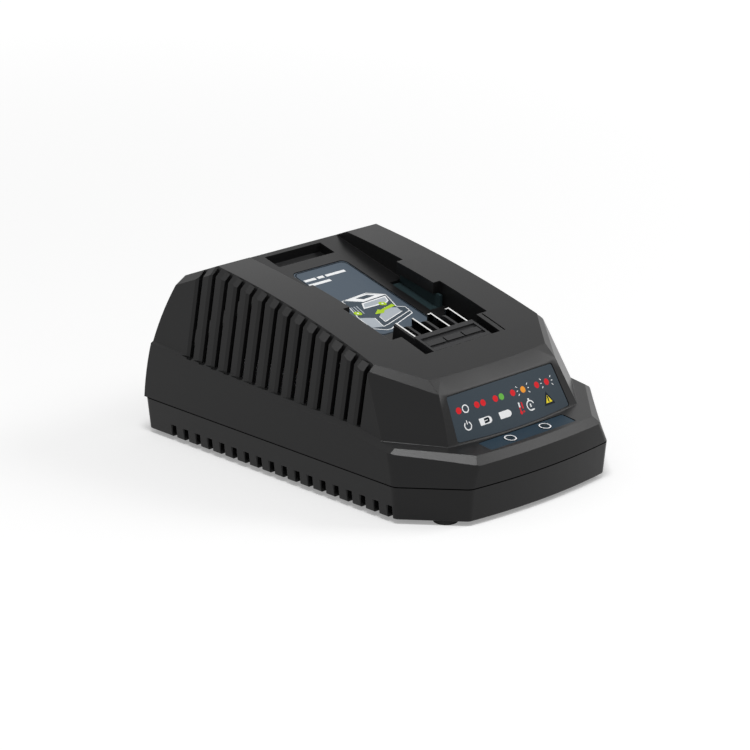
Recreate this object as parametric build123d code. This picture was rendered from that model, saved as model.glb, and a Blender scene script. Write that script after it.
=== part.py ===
from build123d import *
import os
from math import atan2, cos, hypot, sin, sqrt

# Battery charger for a slide-on power tool battery.
# Frame: millimetres, +Z up, X across, nose towards -Y. The origin lies under the middle of the
# charger, on the surface that its feet stand on.

# ---------------------------------------------------------------- driving sizes: housing plan
HALF_WIDTH = 65.0
LENGTH = 196.0
NOSE_HALF_WIDTH = 43.5
NOSE_BOW = 3.3
NOSE_CORNER_SETBACK = 28.4
NOSE_CORNER_RADIUS = 5.0
BACK_BOW_RADIUS = 925.0
BACK_CORNER_RADIUS = 3.5

# ---------------------------------------------------------------- driving sizes: heights
FOOT_HEIGHT = 2.0
PARTING_Z = 17.5
SHELF_Z = 32.54
SHELF_SLOPE = 0.1025
DECK_FRONT_Z = 56.85
RIDGE_Z = 85.15
DECK_RADIUS = 580.0

# ---------------------------------------------------------------- driving sizes: walls and gaps
WALL = 2.4
FILM = 0.35
FILM_RECESS = 0.6
FILM_GAP = 0.3
SEAT_GAP = 0.15
PRESS_GAP = 0.05
SEAM = 0.35

# ---------------------------------------------------------------- driving sizes: skirt
SIDE_LEAN = 0.0924
BEVEL_FOOT_Z = 26.8
BEVEL_SLOPE = 0.95
BEVEL_BOW = 2.15
NOSE_LEAN = 0.1667
NOSE_END_LEAN = 0.0418
NOSE_NARROWING = 0.4707
CORNER_SHIFT = 0.2956
LOWER_DRAFT = 1.4
LOWER_EDGE_RADIUS = 0.8

# ---------------------------------------------------------------- driving sizes: tower
FACE_FOOT_SETBACK = 16.05
FACE_FOOT_Z = 31.3
FACE_FOOT_BOW = 2.95
FACE_TOP_SETBACK = 28.65
FACE_TOP_Z = 52.04
FACE_TOP_BOW = 0.95
FACE_BOW_SPAN = 38.8
FACE_FOOT_HALF_WIDTH = 40.83
FACE_TOP_HALF_WIDTH = 36.85
CREASE_SETBACK = 34.3
RIDGE_SETBACK = 38.4
BACK_SLOPE = 0.4143
BACK_ARC_RADIUS = 113.9
PANEL_FOOT_Z = 34.07
PANEL_FOOT_SETBACK = 40.7
PANEL_INSET = 4.88
PANEL_LEAN = 0.1838
PANEL_FLARE = 0.0205
SHOULDER = 3.2

# ---------------------------------------------------------------- driving sizes: side louvres
LOUVRE_COUNT = 14
LOUVRE_PITCH = 8.35
LOUVRE_SETBACK = 54.3
LOUVRE_THROAT = 3.0
LOUVRE_FLARE = 1.5
LOUVRE_FLARE_DEPTH = 0.6
LOUVRE_FOOT_Z = 36.7
LOUVRE_FOOT_SLOPE = 0.0468
LOUVRE_DEPTH = 3.5
LOUVRE_OVERRUN = 0.6
LOUVRE_DECK_LAND = 0.1

# ---------------------------------------------------------------- driving sizes: floor-level vents
NOTCH_COUNT = 18
NOTCH_SETBACK = 30.3
NOTCH_WIDTH = 3.3
NOTCH_FLARE = 2.4
NOTCH_TOP_Z = 8.0

# ---------------------------------------------------------------- driving sizes: back grille
GRILLE_HALF_COUNT = 5
GRILLE_PITCH = 8.7
GRILLE_FIRST_X = 2.05
GRILLE_WIDTH = 3.1
GRILLE_TOP_Z = 56.8
GRILLE_FALL = 0.34
GRILLE_SLOT_HEIGHT = 8.0

# ---------------------------------------------------------------- driving sizes: battery bay
BAY_HALF_WIDTH = 30.6
BAY_SETBACK = 65.8
BAY_FLOOR_SLOPE = 0.27
BAY_RIDGE_DEPTH = 4.7
THROAT_HALF_WIDTH = 23.65
THROAT_SETBACK = 51.0
RAIL_WIDTH = 4.2
RAIL_HEIGHT = 5.5
RAIL_SETBACK = 96.0
RAIL_LENGTH = 23.8
CORE_WIDTH = 8.1
CORE_SIDE_LEDGE = 0.5
CORE_LEAD = 2.6
LINER_THICKNESS = 1.5
LINER_SINK = 1.2
LINER_LIP = 1.5
LATCH_HALF_WIDTH = 17.5
LATCH_SETBACK = 151.9
LATCH_LENGTH = 10.0
LATCH_DEPTH = 4.5
BAY_LABEL_HALF_WIDTH = 16.6
BAY_LABEL_SETBACK = 85.9
BAY_LABEL_LENGTH = 58.9
LABEL_CORNER = 3.0
SIDE_GROOVE_X = 26.65
SIDE_GROOVE_WIDTH = 0.9
SIDE_GROOVE_DEPTH = 1.4
SIDE_GROOVE_LENGTH = 14.4

# ---------------------------------------------------------------- driving sizes: front panel
STATUS_HALF_WIDTH_TOP = 33.1
STATUS_HALF_WIDTH_FOOT = 35.3
STATUS_FOOT = 2.7
STATUS_TOP = 22.8
STATUS_FOOT_SAG = 1.8
SHELF_LABEL_HALF_WIDTH = 26.7
SHELF_LABEL_BACK_SETBACK = 15.6
SHELF_LABEL_FRONT_SETBACK = 7.3
WINDOW_X = 11.0
WINDOW_SETBACK = 11.25
WINDOW_DIAMETER = 5.8
PIPE_COLLAR = 0.8

# ---------------------------------------------------------------- driving sizes: terminal block
BLOCK_HALF_WIDTH = 18.3
BRIDGE_LENGTH = 12.6
CHEEK_THICKNESS = 1.0
CHEEK_LENGTH = 13.4
CHEEK_TAPER = 1.4
RIGHT_CHEEK_DROP = 5.0
FLANGE_HALF_WIDTH = 25.0
FLANGE_THICKNESS = 2.6
FLANGE_TAIL = 6.0
FIN_THICKNESS = 1.5
FIN_SPACING = 11.5
FIN_CENTRE_X = -2.1
FIN_RADIUS = 4.2
PANEL_RECESS = 0.9
PANEL_SIDE_RIM = 1.4
PANEL_REAR_RIM = 2.6
PANEL_FRONT_RIM = 2.0
TILE_COUNT = 3
TILE_DEPTH = 3.3
TILE_SETBACK = 2.7
TILE_GAP = 0.9
TILE_HEIGHT = 0.7
BLADE_THICKNESS = 0.9
BLADE_PITCH = 11.2
BLADE_CENTRE_X = -1.2
BLADE_LENGTH = 12.4
BLADE_TAIL = 9.0
BLADE_TAIL_WIDTH = 4.0
BLADE_TAIL_START = 3.0
BLADE_FOLD = 1.6
BLADE_FOLD_HEIGHT = 3.6

# ---------------------------------------------------------------- driving sizes: boards and power parts
BOARD_HALF_WIDTH = 48.0
BOARD_FRONT_SETBACK = 48.0
BOARD_BACK_SETBACK = 28.0
BOARD_CORNER = 4.0
BOARD_Z = 9.0
BOARD_THICKNESS = 1.6
STANDOFF_RADIUS = 3.2
STANDOFF_X = 43.5
STANDOFF_EDGE = 5.0
LED_RADIUS = 2.5
LED_HEIGHT = 5.0
LED_RIM = 0.4
LED_RIM_HEIGHT = 1.0
INDICATOR_BOARD_Z = 19.5
INDICATOR_BOARD_HALF_WIDTH = 30.0
INDICATOR_BOARD_DEPTH = 13.0
INDICATOR_POST_X = 24.0
TRANSFORMER_X = -6.0
TRANSFORMER_Y = 4.0
CORE_LENGTH = 35.0
CORE_DEPTH = 11.0
CORE_HEIGHT = 29.0
CORE_LIMB = 5.5
CORE_LIFT = 2.5
BOBBIN_WALL = 1.2
WINDING_RADIUS = 11.0
SINK_THICKNESS = 2.5
SINK_FIN_LENGTH = 7.0
SINK_FIN_COUNT = 5
SINK_FIN_WIDTH = 1.6
PRIMARY_SINK_X = -41.0
PRIMARY_SINK_SETBACK = 40.0
PRIMARY_SINK_LENGTH = 40.0
PRIMARY_SINK_HEIGHT = 31.0
SECONDARY_SINK_X = 38.0
SECONDARY_SINK_SETBACK = 32.0
SECONDARY_SINK_LENGTH = 34.0
SECONDARY_SINK_HEIGHT = 26.0
BULK_RADIUS = 9.0
BULK_HEIGHT = 31.0
BULK_X = 20.0
BULK_SETBACK = 32.0
BULK_PITCH = 19.5
OUTPUT_CAP_RADIUS = 5.0
OUTPUT_CAP_HEIGHT = 21.0
OUTPUT_CAP_X = 8.0
OUTPUT_CAP_SETBACK = 22.0
OUTPUT_CAP_PITCH = 12.0
CAN_EDGE = 0.8
CAN_CRIMP = 0.5
CAN_CRIMP_Z = 2.5
CAN_CRIMP_HEIGHT = 1.0
CHOKE_X = 0.0
CHOKE_SETBACK = 13.0
CHOKE_RING_RADIUS = 8.0
CHOKE_CORE_WIDTH = 5.0
CHOKE_CORE_HEIGHT = 8.0
CHOKE_WIRE = 1.4
CHOKE_WINDING_ARC = 120.0
FUSE_X = -36.0
FUSE_SETBACK = 12.0
FUSE_LENGTH = 20.0
FUSE_RADIUS = 2.6
FUSE_CAP_LENGTH = 5.0
FUSE_CLIP_WIDTH = 3.0
FUSE_LIFT = 1.2
X_CAP_X = -26.0
X_CAP_SETBACK = 21.0
VARISTOR_X = -18.0
VARISTOR_SETBACK = 10.0
BRIDGE_X = 27.0
BRIDGE_SETBACK = 10.0
CHIP_PLACES = ((-20.0, 18.0), (-32.0, 32.0), (26.0, 54.0))
CHIP_SIZE = (8.0, 5.0, 1.8)
X_CAP_SIZE = (18.0, 8.0, 15.0)
BRIDGE_SIZE = (15.0, 3.6, 11.0)
VARISTOR_RADIUS = 5.5
VARISTOR_THICKNESS = 4.0
PACKAGE_WIDTH = 10.0
PACKAGE_HEIGHT = 9.0
PACKAGE_DEPTH = 4.5
TAB_HEIGHT = 15.0
TAB_THICKNESS = 1.3
LEG_PITCH = 2.54
LEG_WIDTH = 0.8
LEG_HEIGHT = 4.0
CABLE_HALF_WIDTH = 5.0
INLET_X = -27.0
INLET_WIDTH = 20.0
INLET_HEIGHT = 11.5
INLET_DEPTH = 14.0
INLET_SINK = 0.6
INLET_FLANGE = 2.0
INLET_RIM = 2.0
INLET_FLOOR = 4.0
INLET_Z = 10.6
INLET_PIN_PITCH = 6.6
INLET_PIN_RADIUS = 1.2
INLET_PIN_SINK = 3.0
LEAD_RADIUS = 1.1
LEAD_BEND = 2.5
LEAD_LANDING = 8.0
LEAD_SPAN = 14.0
LEAD_RISE = 7.0
LEAD_DROP = 9.0

# ---------------------------------------------------------------- driving sizes: feet and fasteners
FOOT_RADIUS = 5.5
FOOT_SOCKET_DEPTH = 1.0
FRONT_FOOT_INSET = 19.8
FRONT_FOOT_SETBACK = 16.7
REAR_FOOT_INSET = 15.0
REAR_FOOT_SETBACK = 32.0
SCREW_RADIUS = 1.5
SCREW_HEAD_RADIUS = 3.0
SCREW_HEAD_HEIGHT = 2.2
SCREW_LENGTH = 16.0
BOARD_SCREW_RADIUS = 1.2
BOARD_SCREW_HEAD_RADIUS = 2.4
BOARD_SCREW_HEAD_HEIGHT = 1.6
BOARD_SCREW_LENGTH = 5.6
HOLDER_SCREW_RADIUS = 1.2
HOLDER_SCREW_HEAD_RADIUS = 2.2
HOLDER_SCREW_HEAD_HEIGHT = 1.4
HOLDER_SCREW_X = 22.0
HOLDER_SCREW_SETBACK = 21.6
SCREW_WELL_DEPTH = 6.0
SCREW_CLEARANCE = 0.25
PILLAR_RADIUS = 4.6
FRONT_PILLAR_INSET = 14.0
FRONT_PILLAR_SETBACK = 33.0
REAR_PILLAR_INSET = 12.0
REAR_PILLAR_SETBACK = 14.0

# ---------------------------------------------------------------- derived places
FRONT_Y = -LENGTH / 2
BACK_Y = LENGTH / 2
BASE_Z = FOOT_HEIGHT
BOARD_TOP = BOARD_Z + BOARD_THICKNESS
FAR = 2 * LENGTH
BOARD_FRONT_Y = FRONT_Y + BOARD_FRONT_SETBACK
BOARD_BACK_Y = BACK_Y - BOARD_BACK_SETBACK
CREASE_Y = FRONT_Y + CREASE_SETBACK
RIDGE_Y = BACK_Y - RIDGE_SETBACK
NOSE_CORNER_Y = FRONT_Y + NOSE_CORNER_SETBACK
PANEL_FOOT_Y = FRONT_Y + PANEL_FOOT_SETBACK
THROAT_Y = FRONT_Y + THROAT_SETBACK
BAY_Y = FRONT_Y + BAY_SETBACK
LOUVRE_Y = FRONT_Y + LOUVRE_SETBACK
NOTCH_Y = FRONT_Y + NOTCH_SETBACK
WINDOW_Y = FRONT_Y + WINDOW_SETBACK
SCREW_SEAT_Z = BASE_Z + SCREW_WELL_DEPTH
SCREW_TIP_Z = SCREW_SEAT_Z + SCREW_LENGTH
CHEEK_X = BLOCK_HALF_WIDTH + CHEEK_THICKNESS / 2
BODY_CORE = Vector(0, 0, PARTING_Z)
FRONT_FOOT_X = HALF_WIDTH - FRONT_FOOT_INSET
REAR_FOOT_X = HALF_WIDTH - REAR_FOOT_INSET
FRONT_PILLAR_X = HALF_WIDTH - FRONT_PILLAR_INSET
REAR_PILLAR_X = HALF_WIDTH - REAR_PILLAR_INSET
PRIMARY_SINK_Y = BOARD_BACK_Y - PRIMARY_SINK_SETBACK
SECONDARY_SINK_Y = BOARD_FRONT_Y + SECONDARY_SINK_SETBACK
BULK_Y = BOARD_BACK_Y - BULK_SETBACK
OUTPUT_CAP_Y = TRANSFORMER_Y - OUTPUT_CAP_SETBACK
CHOKE_Y = BOARD_BACK_Y - CHOKE_SETBACK
FUSE_Y = BOARD_BACK_Y - FUSE_SETBACK
X_CAP_Y = BOARD_BACK_Y - X_CAP_SETBACK
VARISTOR_Y = BOARD_BACK_Y - VARISTOR_SETBACK
BRIDGE_Y = BOARD_BACK_Y - BRIDGE_SETBACK
CHIPS = [(chip_x, BOARD_FRONT_Y + setback) for chip_x, setback in CHIP_PLACES]
BLADES = ["contact_positive", "contact_data", "contact_thermistor", "contact_negative"]

# The deck is an arc through the front crease and the rear ridge, seen from the side.
CHORD = hypot(RIDGE_Y - CREASE_Y, RIDGE_Z - DECK_FRONT_Z)
CHORD_ANGLE = atan2(RIDGE_Z - DECK_FRONT_Z, RIDGE_Y - CREASE_Y)
CHORD_DROP = sqrt(DECK_RADIUS**2 - (CHORD / 2) ** 2)
DECK_CENTRE_Y = (CREASE_Y + RIDGE_Y) / 2 + CHORD_DROP * sin(CHORD_ANGLE)
DECK_CENTRE_Z = (DECK_FRONT_Z + RIDGE_Z) / 2 - CHORD_DROP * cos(CHORD_ANGLE)


def deck_z(y, drop=0.0):
    """Height of the deck arc at y, lowered by drop along its radius."""
    return DECK_CENTRE_Z + sqrt((DECK_RADIUS - drop) ** 2 - (y - DECK_CENTRE_Y) ** 2)


def floor_z(y):
    """Height of the sloping floor of the battery bay."""
    return RIDGE_Z - BAY_RIDGE_DEPTH + BAY_FLOOR_SLOPE * (y - RIDGE_Y)


def shelf_z(y):
    """Height of the shelf round the foot of the status face."""
    return SHELF_Z + SHELF_SLOPE * (y - NOSE_CORNER_Y)


def panel_x(y, z):
    """Half width over the leaning side panels."""
    foot = HALF_WIDTH - PANEL_INSET
    return foot - PANEL_LEAN * (z - PANEL_FOOT_Z) + PANEL_FLARE * (y - PANEL_FOOT_Y)


# ---------------------------------------------------------------- small helpers
def side_profile(points, half_width):
    """A prism across the body from an outline drawn in Y and Z."""
    outline = make_face(Plane.YZ * Polyline(*points, close=True))
    return extrude(outline, half_width, both=True)


def box(x, y, z):
    """A block between the limits given as pairs."""
    size = (x[1] - x[0], y[1] - y[0], z[1] - z[0])
    return Pos((x[0] + x[1]) / 2, (y[0] + y[1]) / 2, (z[0] + z[1]) / 2) * Box(*size)


def post(x, y, z, radius):
    """A round upright between the two heights in z."""
    return Pos(x, y, (z[0] + z[1]) / 2) * Cylinder(radius, z[1] - z[0])


def both_sides(part):
    """The part and its mirror image across the middle plane."""
    return [part, mirror(part, about=Plane.YZ)]


def facet_plane(points, inset):
    """The plane through three points, facing out of the body and moved inwards by inset."""
    p, q, r = [Vector(*point) for point in points]
    normal = (q - p).cross(r - p).normalized()
    if normal.dot(p - BODY_CORE) < 0:
        normal = normal * -1
    return Plane(origin=p - normal * inset, z_dir=normal)


def trim_both_sides(part, points, inset):
    """Cut off what lies beyond the facet through three points, on both sides."""
    for side in (1, -1):
        mirrored = [(side * x, y, z) for x, y, z in points]
        part = split(part, bisect_by=facet_plane(mirrored, inset), keep=Keep.BOTTOM)
    return part


def bowed_section(z, middle_y, bow, bow_half_width):
    """A level section of everything behind a bowed front edge."""
    reach = HALF_WIDTH * 1.3
    end_y = middle_y + bow * (reach / bow_half_width) ** 2
    front = ThreePointArc((-reach, end_y), (0, middle_y), (reach, end_y))
    rest = Polyline((reach, end_y), (reach, FAR), (-reach, FAR), (-reach, end_y))
    return Pos(0, 0, z) * make_face(front + rest)


# ---------------------------------------------------------------- housing outlines
def plan(rise, inset, back_y, back_bow):
    """Housing outline at a height above the parting line, drawn inwards by inset."""
    nose_rise = min(rise, SHELF_Z + WALL - PARTING_Z)
    half_width = HALF_WIDTH - SIDE_LEAN * rise
    corner_y = NOSE_CORNER_Y + CORNER_SHIFT * nose_rise
    nose_half = NOSE_HALF_WIDTH - NOSE_NARROWING * nose_rise
    nose_y = FRONT_Y + NOSE_LEAN * nose_rise
    nose_end_y = FRONT_Y + NOSE_BOW + NOSE_END_LEAN * nose_rise
    # Unit normal of the chamfered corner, which sets how far its ends move when it moves inwards
    run_x, run_y = half_width - nose_half, corner_y - nose_end_y
    out_x, out_y = run_y / hypot(run_x, run_y), run_x / hypot(run_x, run_y)
    corner_y += inset * (1 - out_x) / out_y
    nose_half -= inset * (1 - out_y) / out_x
    half_width -= inset
    nose_y += inset
    nose_end_y += inset
    back_y -= inset
    nose = ThreePointArc((-nose_half, nose_end_y), (0, nose_y), (nose_half, nose_end_y))
    right = Polyline((nose_half, nose_end_y), (half_width, corner_y), (half_width, back_y - back_bow))
    back = ThreePointArc((half_width, back_y - back_bow), (0, back_y), (-half_width, back_y - back_bow))
    left = Polyline((-half_width, back_y - back_bow), (-half_width, corner_y), (-nose_half, nose_end_y))
    outline = make_face(nose + right + back + left)
    corners = outline.vertices().sort_by(Axis.Y)
    outline = fillet(corners[:4], NOSE_CORNER_RADIUS - inset)
    rear = outline.vertices().sort_by(Axis.Y)[-2:]
    outline = fillet(rear, max(BACK_CORNER_RADIUS - inset, SEAM))
    return Pos(0, 0, PARTING_Z + rise) * outline


def back_envelope(inset):
    """Everything in front of the bowed back wall, which curves forward as it rises."""
    axis_y = BACK_Y - BACK_BOW_RADIUS
    arc_y = BACK_Y - BACK_ARC_RADIUS
    radius = BACK_ARC_RADIUS - inset
    low, high = -10.0, RIDGE_Z + 10.0
    start = (arc_y + sqrt(radius**2 - (low - PARTING_Z) ** 2), low)
    middle = (arc_y + sqrt(radius**2 - (RIDGE_Z / 2 - PARTING_Z) ** 2), RIDGE_Z / 2)
    end = (arc_y + sqrt(radius**2 - (high - PARTING_Z) ** 2), high)
    arc = ThreePointArc(start, middle, end)
    rest = Polyline(end, (1.4 * FRONT_Y, high), (1.4 * FRONT_Y, low), start)
    profile = make_face(Plane.YZ * (arc + rest))
    turn = 14.0
    wedge = revolve(profile, Axis((0, axis_y, 0), (0, 0, 1)), revolution_arc=turn)
    return wedge.rotate(Axis((0, axis_y, 0), (0, 0, 1)), -turn / 2)


def skirt(inset):
    """Lower part of the top casing: leaning walls, bevelled edge and shelf."""
    tall = PANEL_FOOT_Z - PARTING_Z + 16.0
    nose_top = SHELF_Z + WALL - PARTING_Z
    back = BACK_Y + 3 * BACK_CORNER_RADIUS
    sections = [plan(rise, inset, back, 1.0) for rise in (0.0, nose_top, tall)]
    body = loft(sections, ruled=True)
    behind = PANEL_FOOT_Y
    roof = [
        (FRONT_Y - 10, shelf_z(FRONT_Y - 10) - inset),
        (behind, shelf_z(behind) - inset),
        (behind + 30, shelf_z(behind) + 30 - inset),
        (FAR, shelf_z(behind) + 30 - inset),
        (FAR, 0),
        (FRONT_Y - 10, 0),
    ]
    body &= side_profile(roof, FAR / 2)
    # Front bevel between the nose wall and the shelf
    foot_y = FRONT_Y + NOSE_LEAN * (BEVEL_FOOT_Z - PARTING_Z) + inset
    sections = []
    for z in (PARTING_Z - 5, PANEL_FOOT_Z + 20):
        middle_y = foot_y + BEVEL_SLOPE * (z - BEVEL_FOOT_Z)
        sections.append(bowed_section(z, middle_y, BEVEL_BOW, FACE_BOW_SPAN))
    body &= loft(sections, ruled=True)
    # Corner and side bevels, each a flat facet
    side_corner = (HALF_WIDTH - 1.25, NOSE_CORNER_Y + 4.0, SHELF_Z - 1.51)
    nose_corner = (NOSE_HALF_WIDTH - 4.5, FRONT_Y + 3.7, BEVEL_FOOT_Z + 0.26)
    inner_mid = (HALF_WIDTH - 14.5, NOSE_CORNER_Y - 7.05, SHELF_Z - 0.9)
    body = trim_both_sides(body, (side_corner, nose_corner, inner_mid), inset)
    panel_foot = (HALF_WIDTH - PANEL_INSET, PANEL_FOOT_Y, PANEL_FOOT_Z + 0.2)
    side_mid = (HALF_WIDTH - 1.6, PANEL_FOOT_Y + 22.7, PANEL_FOOT_Z + 1.13)
    body = trim_both_sides(body, (side_corner, side_mid, panel_foot), inset)
    side_back = (HALF_WIDTH - 2.4, BACK_Y - 11.9, PANEL_FOOT_Z + 9.13)
    panel_mid = (HALF_WIDTH - 4.95, PANEL_FOOT_Y + 23.1, PANEL_FOOT_Z + 2.93)
    return trim_both_sides(body, (side_mid, side_back, panel_mid), inset)


def tower(inset):
    """Upper part of the top casing: arched deck, leaning panels and faceted front."""
    arc_start = (FRONT_Y - 5, deck_z(FRONT_Y - 5, inset))
    arc_middle = (0, deck_z(0, inset))
    arc_end = (RIDGE_Y, deck_z(RIDGE_Y, inset))
    tail = (BACK_Y + 5, arc_end[1] - BACK_SLOPE * (BACK_Y + 5 - RIDGE_Y))
    deck = ThreePointArc(arc_start, arc_middle, arc_end)
    foot_back = (tail[0], PANEL_FOOT_Z + 2 - 2 * inset)
    foot_front = (arc_start[0], FACE_FOOT_Z - 3 - 2 * inset)
    rest = Polyline(arc_end, tail, foot_back, foot_front, arc_start)
    body = extrude(make_face(Plane.YZ * (deck + rest)), HALF_WIDTH + 5, both=True)
    low, high = PANEL_FOOT_Z, RIDGE_Z
    panel = [
        (panel_x(PANEL_FOOT_Y, low), PANEL_FOOT_Y, low),
        (panel_x(BACK_Y, low), BACK_Y, low),
        (panel_x(PANEL_FOOT_Y, high), PANEL_FOOT_Y, high),
    ]
    body = trim_both_sides(body, panel, inset)
    shoulders = body.edges().filter_by(lambda e: is_shoulder(e, inset))
    body = chamfer(shoulders, SHOULDER)
    # Bowed front: status face, then the flatter bevel up to the deck
    foot_y = FRONT_Y + FACE_FOOT_SETBACK + inset
    top_y = FRONT_Y + FACE_TOP_SETBACK + inset
    face_slope = (top_y - foot_y) / (FACE_TOP_Z - FACE_FOOT_Z)
    bow_slope = (FACE_TOP_BOW - FACE_FOOT_BOW) / (FACE_TOP_Z - FACE_FOOT_Z)
    bevel_slope = (CREASE_SETBACK - FACE_TOP_SETBACK) / (DECK_FRONT_Z - FACE_TOP_Z)
    low, high = PARTING_Z + 4.0, RIDGE_Z + 5.0
    top = FACE_TOP_Z - inset * 0.4
    sections = [
        bowed_section(low, foot_y + face_slope * (low - FACE_FOOT_Z),
                      FACE_FOOT_BOW + bow_slope * (low - FACE_FOOT_Z), FACE_BOW_SPAN),
        bowed_section(top, foot_y + face_slope * (top - FACE_FOOT_Z), FACE_TOP_BOW, FACE_BOW_SPAN),
        bowed_section(high, foot_y + face_slope * (top - FACE_FOOT_Z) + bevel_slope * (high - top),
                      FACE_TOP_BOW, FACE_BOW_SPAN),
    ]
    body &= loft(sections, ruled=True)
    # Corner facets and the narrow bevel strips above them
    foot_end = (FACE_FOOT_HALF_WIDTH, FRONT_Y + FACE_FOOT_SETBACK + 3.01, FACE_FOOT_Z)
    top_end = (FACE_TOP_HALF_WIDTH, FRONT_Y + FACE_TOP_SETBACK + 0.85, FACE_TOP_Z)
    panel_foot = (HALF_WIDTH - PANEL_INSET, PANEL_FOOT_Y, PANEL_FOOT_Z)
    body = trim_both_sides(body, (foot_end, top_end, panel_foot), inset)
    crease_end = (FACE_TOP_HALF_WIDTH - 0.61, CREASE_Y + 0.7, DECK_FRONT_Z + 0.25)
    strip_end = (HALF_WIDTH - 11.46, CREASE_Y + 19.93, deck_z(CREASE_Y + 19.93) - 1.5)
    body = trim_both_sides(body, (top_end, crease_end, strip_end), inset)
    return body & back_envelope(inset)


def is_shoulder(edge, inset):
    """True for the long edges between the deck or back slope and the side panels."""
    middle = edge @ 0.5
    on_side = abs(abs(middle.X) - panel_x(middle.Y, middle.Z)) < inset + 1.5
    return on_side and middle.Z > DECK_FRONT_Z - 8 and abs((edge @ 1).Y - (edge @ 0).Y) > 15


def outer_form(inset):
    """The whole top casing as a solid block, or its inside when drawn inwards."""
    return (skirt(inset) & back_envelope(inset)) + tower(inset)


def bay_block(inset):
    """The battery bay as a solid, grown by inset into the walls round it."""
    wide = [
        (BAY_Y - inset, floor_z(BAY_Y - inset) - inset),
        (FAR, floor_z(FAR) - inset),
        (FAR, FAR),
        (BAY_Y - inset, FAR),
    ]
    narrow = [
        (THROAT_Y - inset, floor_z(THROAT_Y - inset) - inset),
        (BAY_Y, floor_z(BAY_Y) - inset),
        (BAY_Y, FAR),
        (THROAT_Y - inset, FAR),
    ]
    return side_profile(wide, BAY_HALF_WIDTH + inset) + side_profile(narrow, THROAT_HALF_WIDTH + inset)


# ---------------------------------------------------------------- cutters for vents
def louvre_cutters():
    """Cutters for the louvres of both sides: throats, with a flare along each rib's front edge."""
    cutters = []
    facet_run = SHOULDER * (1 + sin(atan2(PANEL_LEAN, 1)))
    facet_rise = SHOULDER * cos(atan2(PANEL_LEAN, 1))
    for index in range(LOUVRE_COUNT):
        y = LOUVRE_Y + index * LOUVRE_PITCH
        back = y + LOUVRE_THROAT
        foot = LOUVRE_FOOT_Z + LOUVRE_FOOT_SLOPE * (y - LOUVRE_Y)
        middle = y + LOUVRE_THROAT / 2
        top = deck_z(min(middle, RIDGE_Y)) - BACK_SLOPE * max(0, middle - RIDGE_Y)
        edge = panel_x(middle, top)
        foot_x = panel_x(middle, foot)
        throat = [
            (foot_x - LOUVRE_DEPTH, foot),
            (HALF_WIDTH + 5, foot),
            (HALF_WIDTH + 5, top + 6),
            (edge - SHOULDER + LOUVRE_DECK_LAND, top + 6),
            (edge - SHOULDER + LOUVRE_DECK_LAND, top - LOUVRE_DEPTH),
            (edge - LOUVRE_DEPTH, top - LOUVRE_DEPTH),
        ]
        face = make_face(Plane.XZ * Polyline(*throat, close=True))
        cutters.append(Pos(0, back, 0) * extrude(face, LOUVRE_THROAT))
        shoulder = Vector(edge + SHOULDER * sin(atan2(PANEL_LEAN, 1)), back, top - facet_rise)
        start = Vector(foot_x, back, foot)
        cutters.append(flare(start, shoulder, 0.0, LOUVRE_OVERRUN))
        deck_edge = Vector(shoulder.X - facet_run, back, shoulder.Z + facet_rise)
        cutters.append(flare(shoulder, deck_edge, LOUVRE_OVERRUN, -LOUVRE_DECK_LAND))
    return cutters


def flare(start, end, before, after):
    """A wedge along the line from start to end, which opens a slot towards the outside."""
    along = (end - start).normalized()
    inwards = Vector(-along.Z, 0, along.X)
    plane = Plane(origin=start - along * before, x_dir=inwards, z_dir=along)
    side = 1 if plane.y_dir.Y > 0 else -1
    reach = 1.0
    spread = LOUVRE_FLARE * (1 + reach / LOUVRE_FLARE_DEPTH)
    outline = Polyline(
        (-reach, -side * 0.2), (LOUVRE_FLARE_DEPTH, -side * 0.2), (LOUVRE_FLARE_DEPTH, 0),
        (-reach, side * spread), close=True,
    )
    return extrude(plane * make_face(outline), (end - start).length + before + after)


def notch_cutters():
    """Cutters for the floor-level vents: an upright slot with a flared rear edge."""
    cutters = []
    inner = HALF_WIDTH - LOWER_DRAFT - WALL - 0.8
    for index in range(NOTCH_COUNT):
        y = NOTCH_Y + index * LOUVRE_PITCH
        mouth = HALF_WIDTH + 1.0
        outline = Polyline(
            (inner, y), (mouth, y), (mouth, y + NOTCH_WIDTH + NOTCH_FLARE),
            (HALF_WIDTH - WALL * 0.6, y + NOTCH_WIDTH), (inner, y + NOTCH_WIDTH), close=True,
        )
        cutters.append(extrude(Pos(0, 0, -1) * make_face(outline), NOTCH_TOP_Z + 1))
    return cutters


def grille_cutters():
    """Cutters for the short slots in the back wall, which step down to both sides."""
    cutters = []
    for index in range(GRILLE_HALF_COUNT):
        x = GRILLE_FIRST_X + index * GRILLE_PITCH
        top = GRILLE_TOP_Z - GRILLE_FALL * x
        depth = (BACK_Y - 30, BACK_Y + 5)
        cutters.append(box((x - GRILLE_WIDTH / 2, x + GRILLE_WIDTH / 2), depth,
                           (top - GRILLE_SLOT_HEIGHT, top)))
    return cutters


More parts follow.
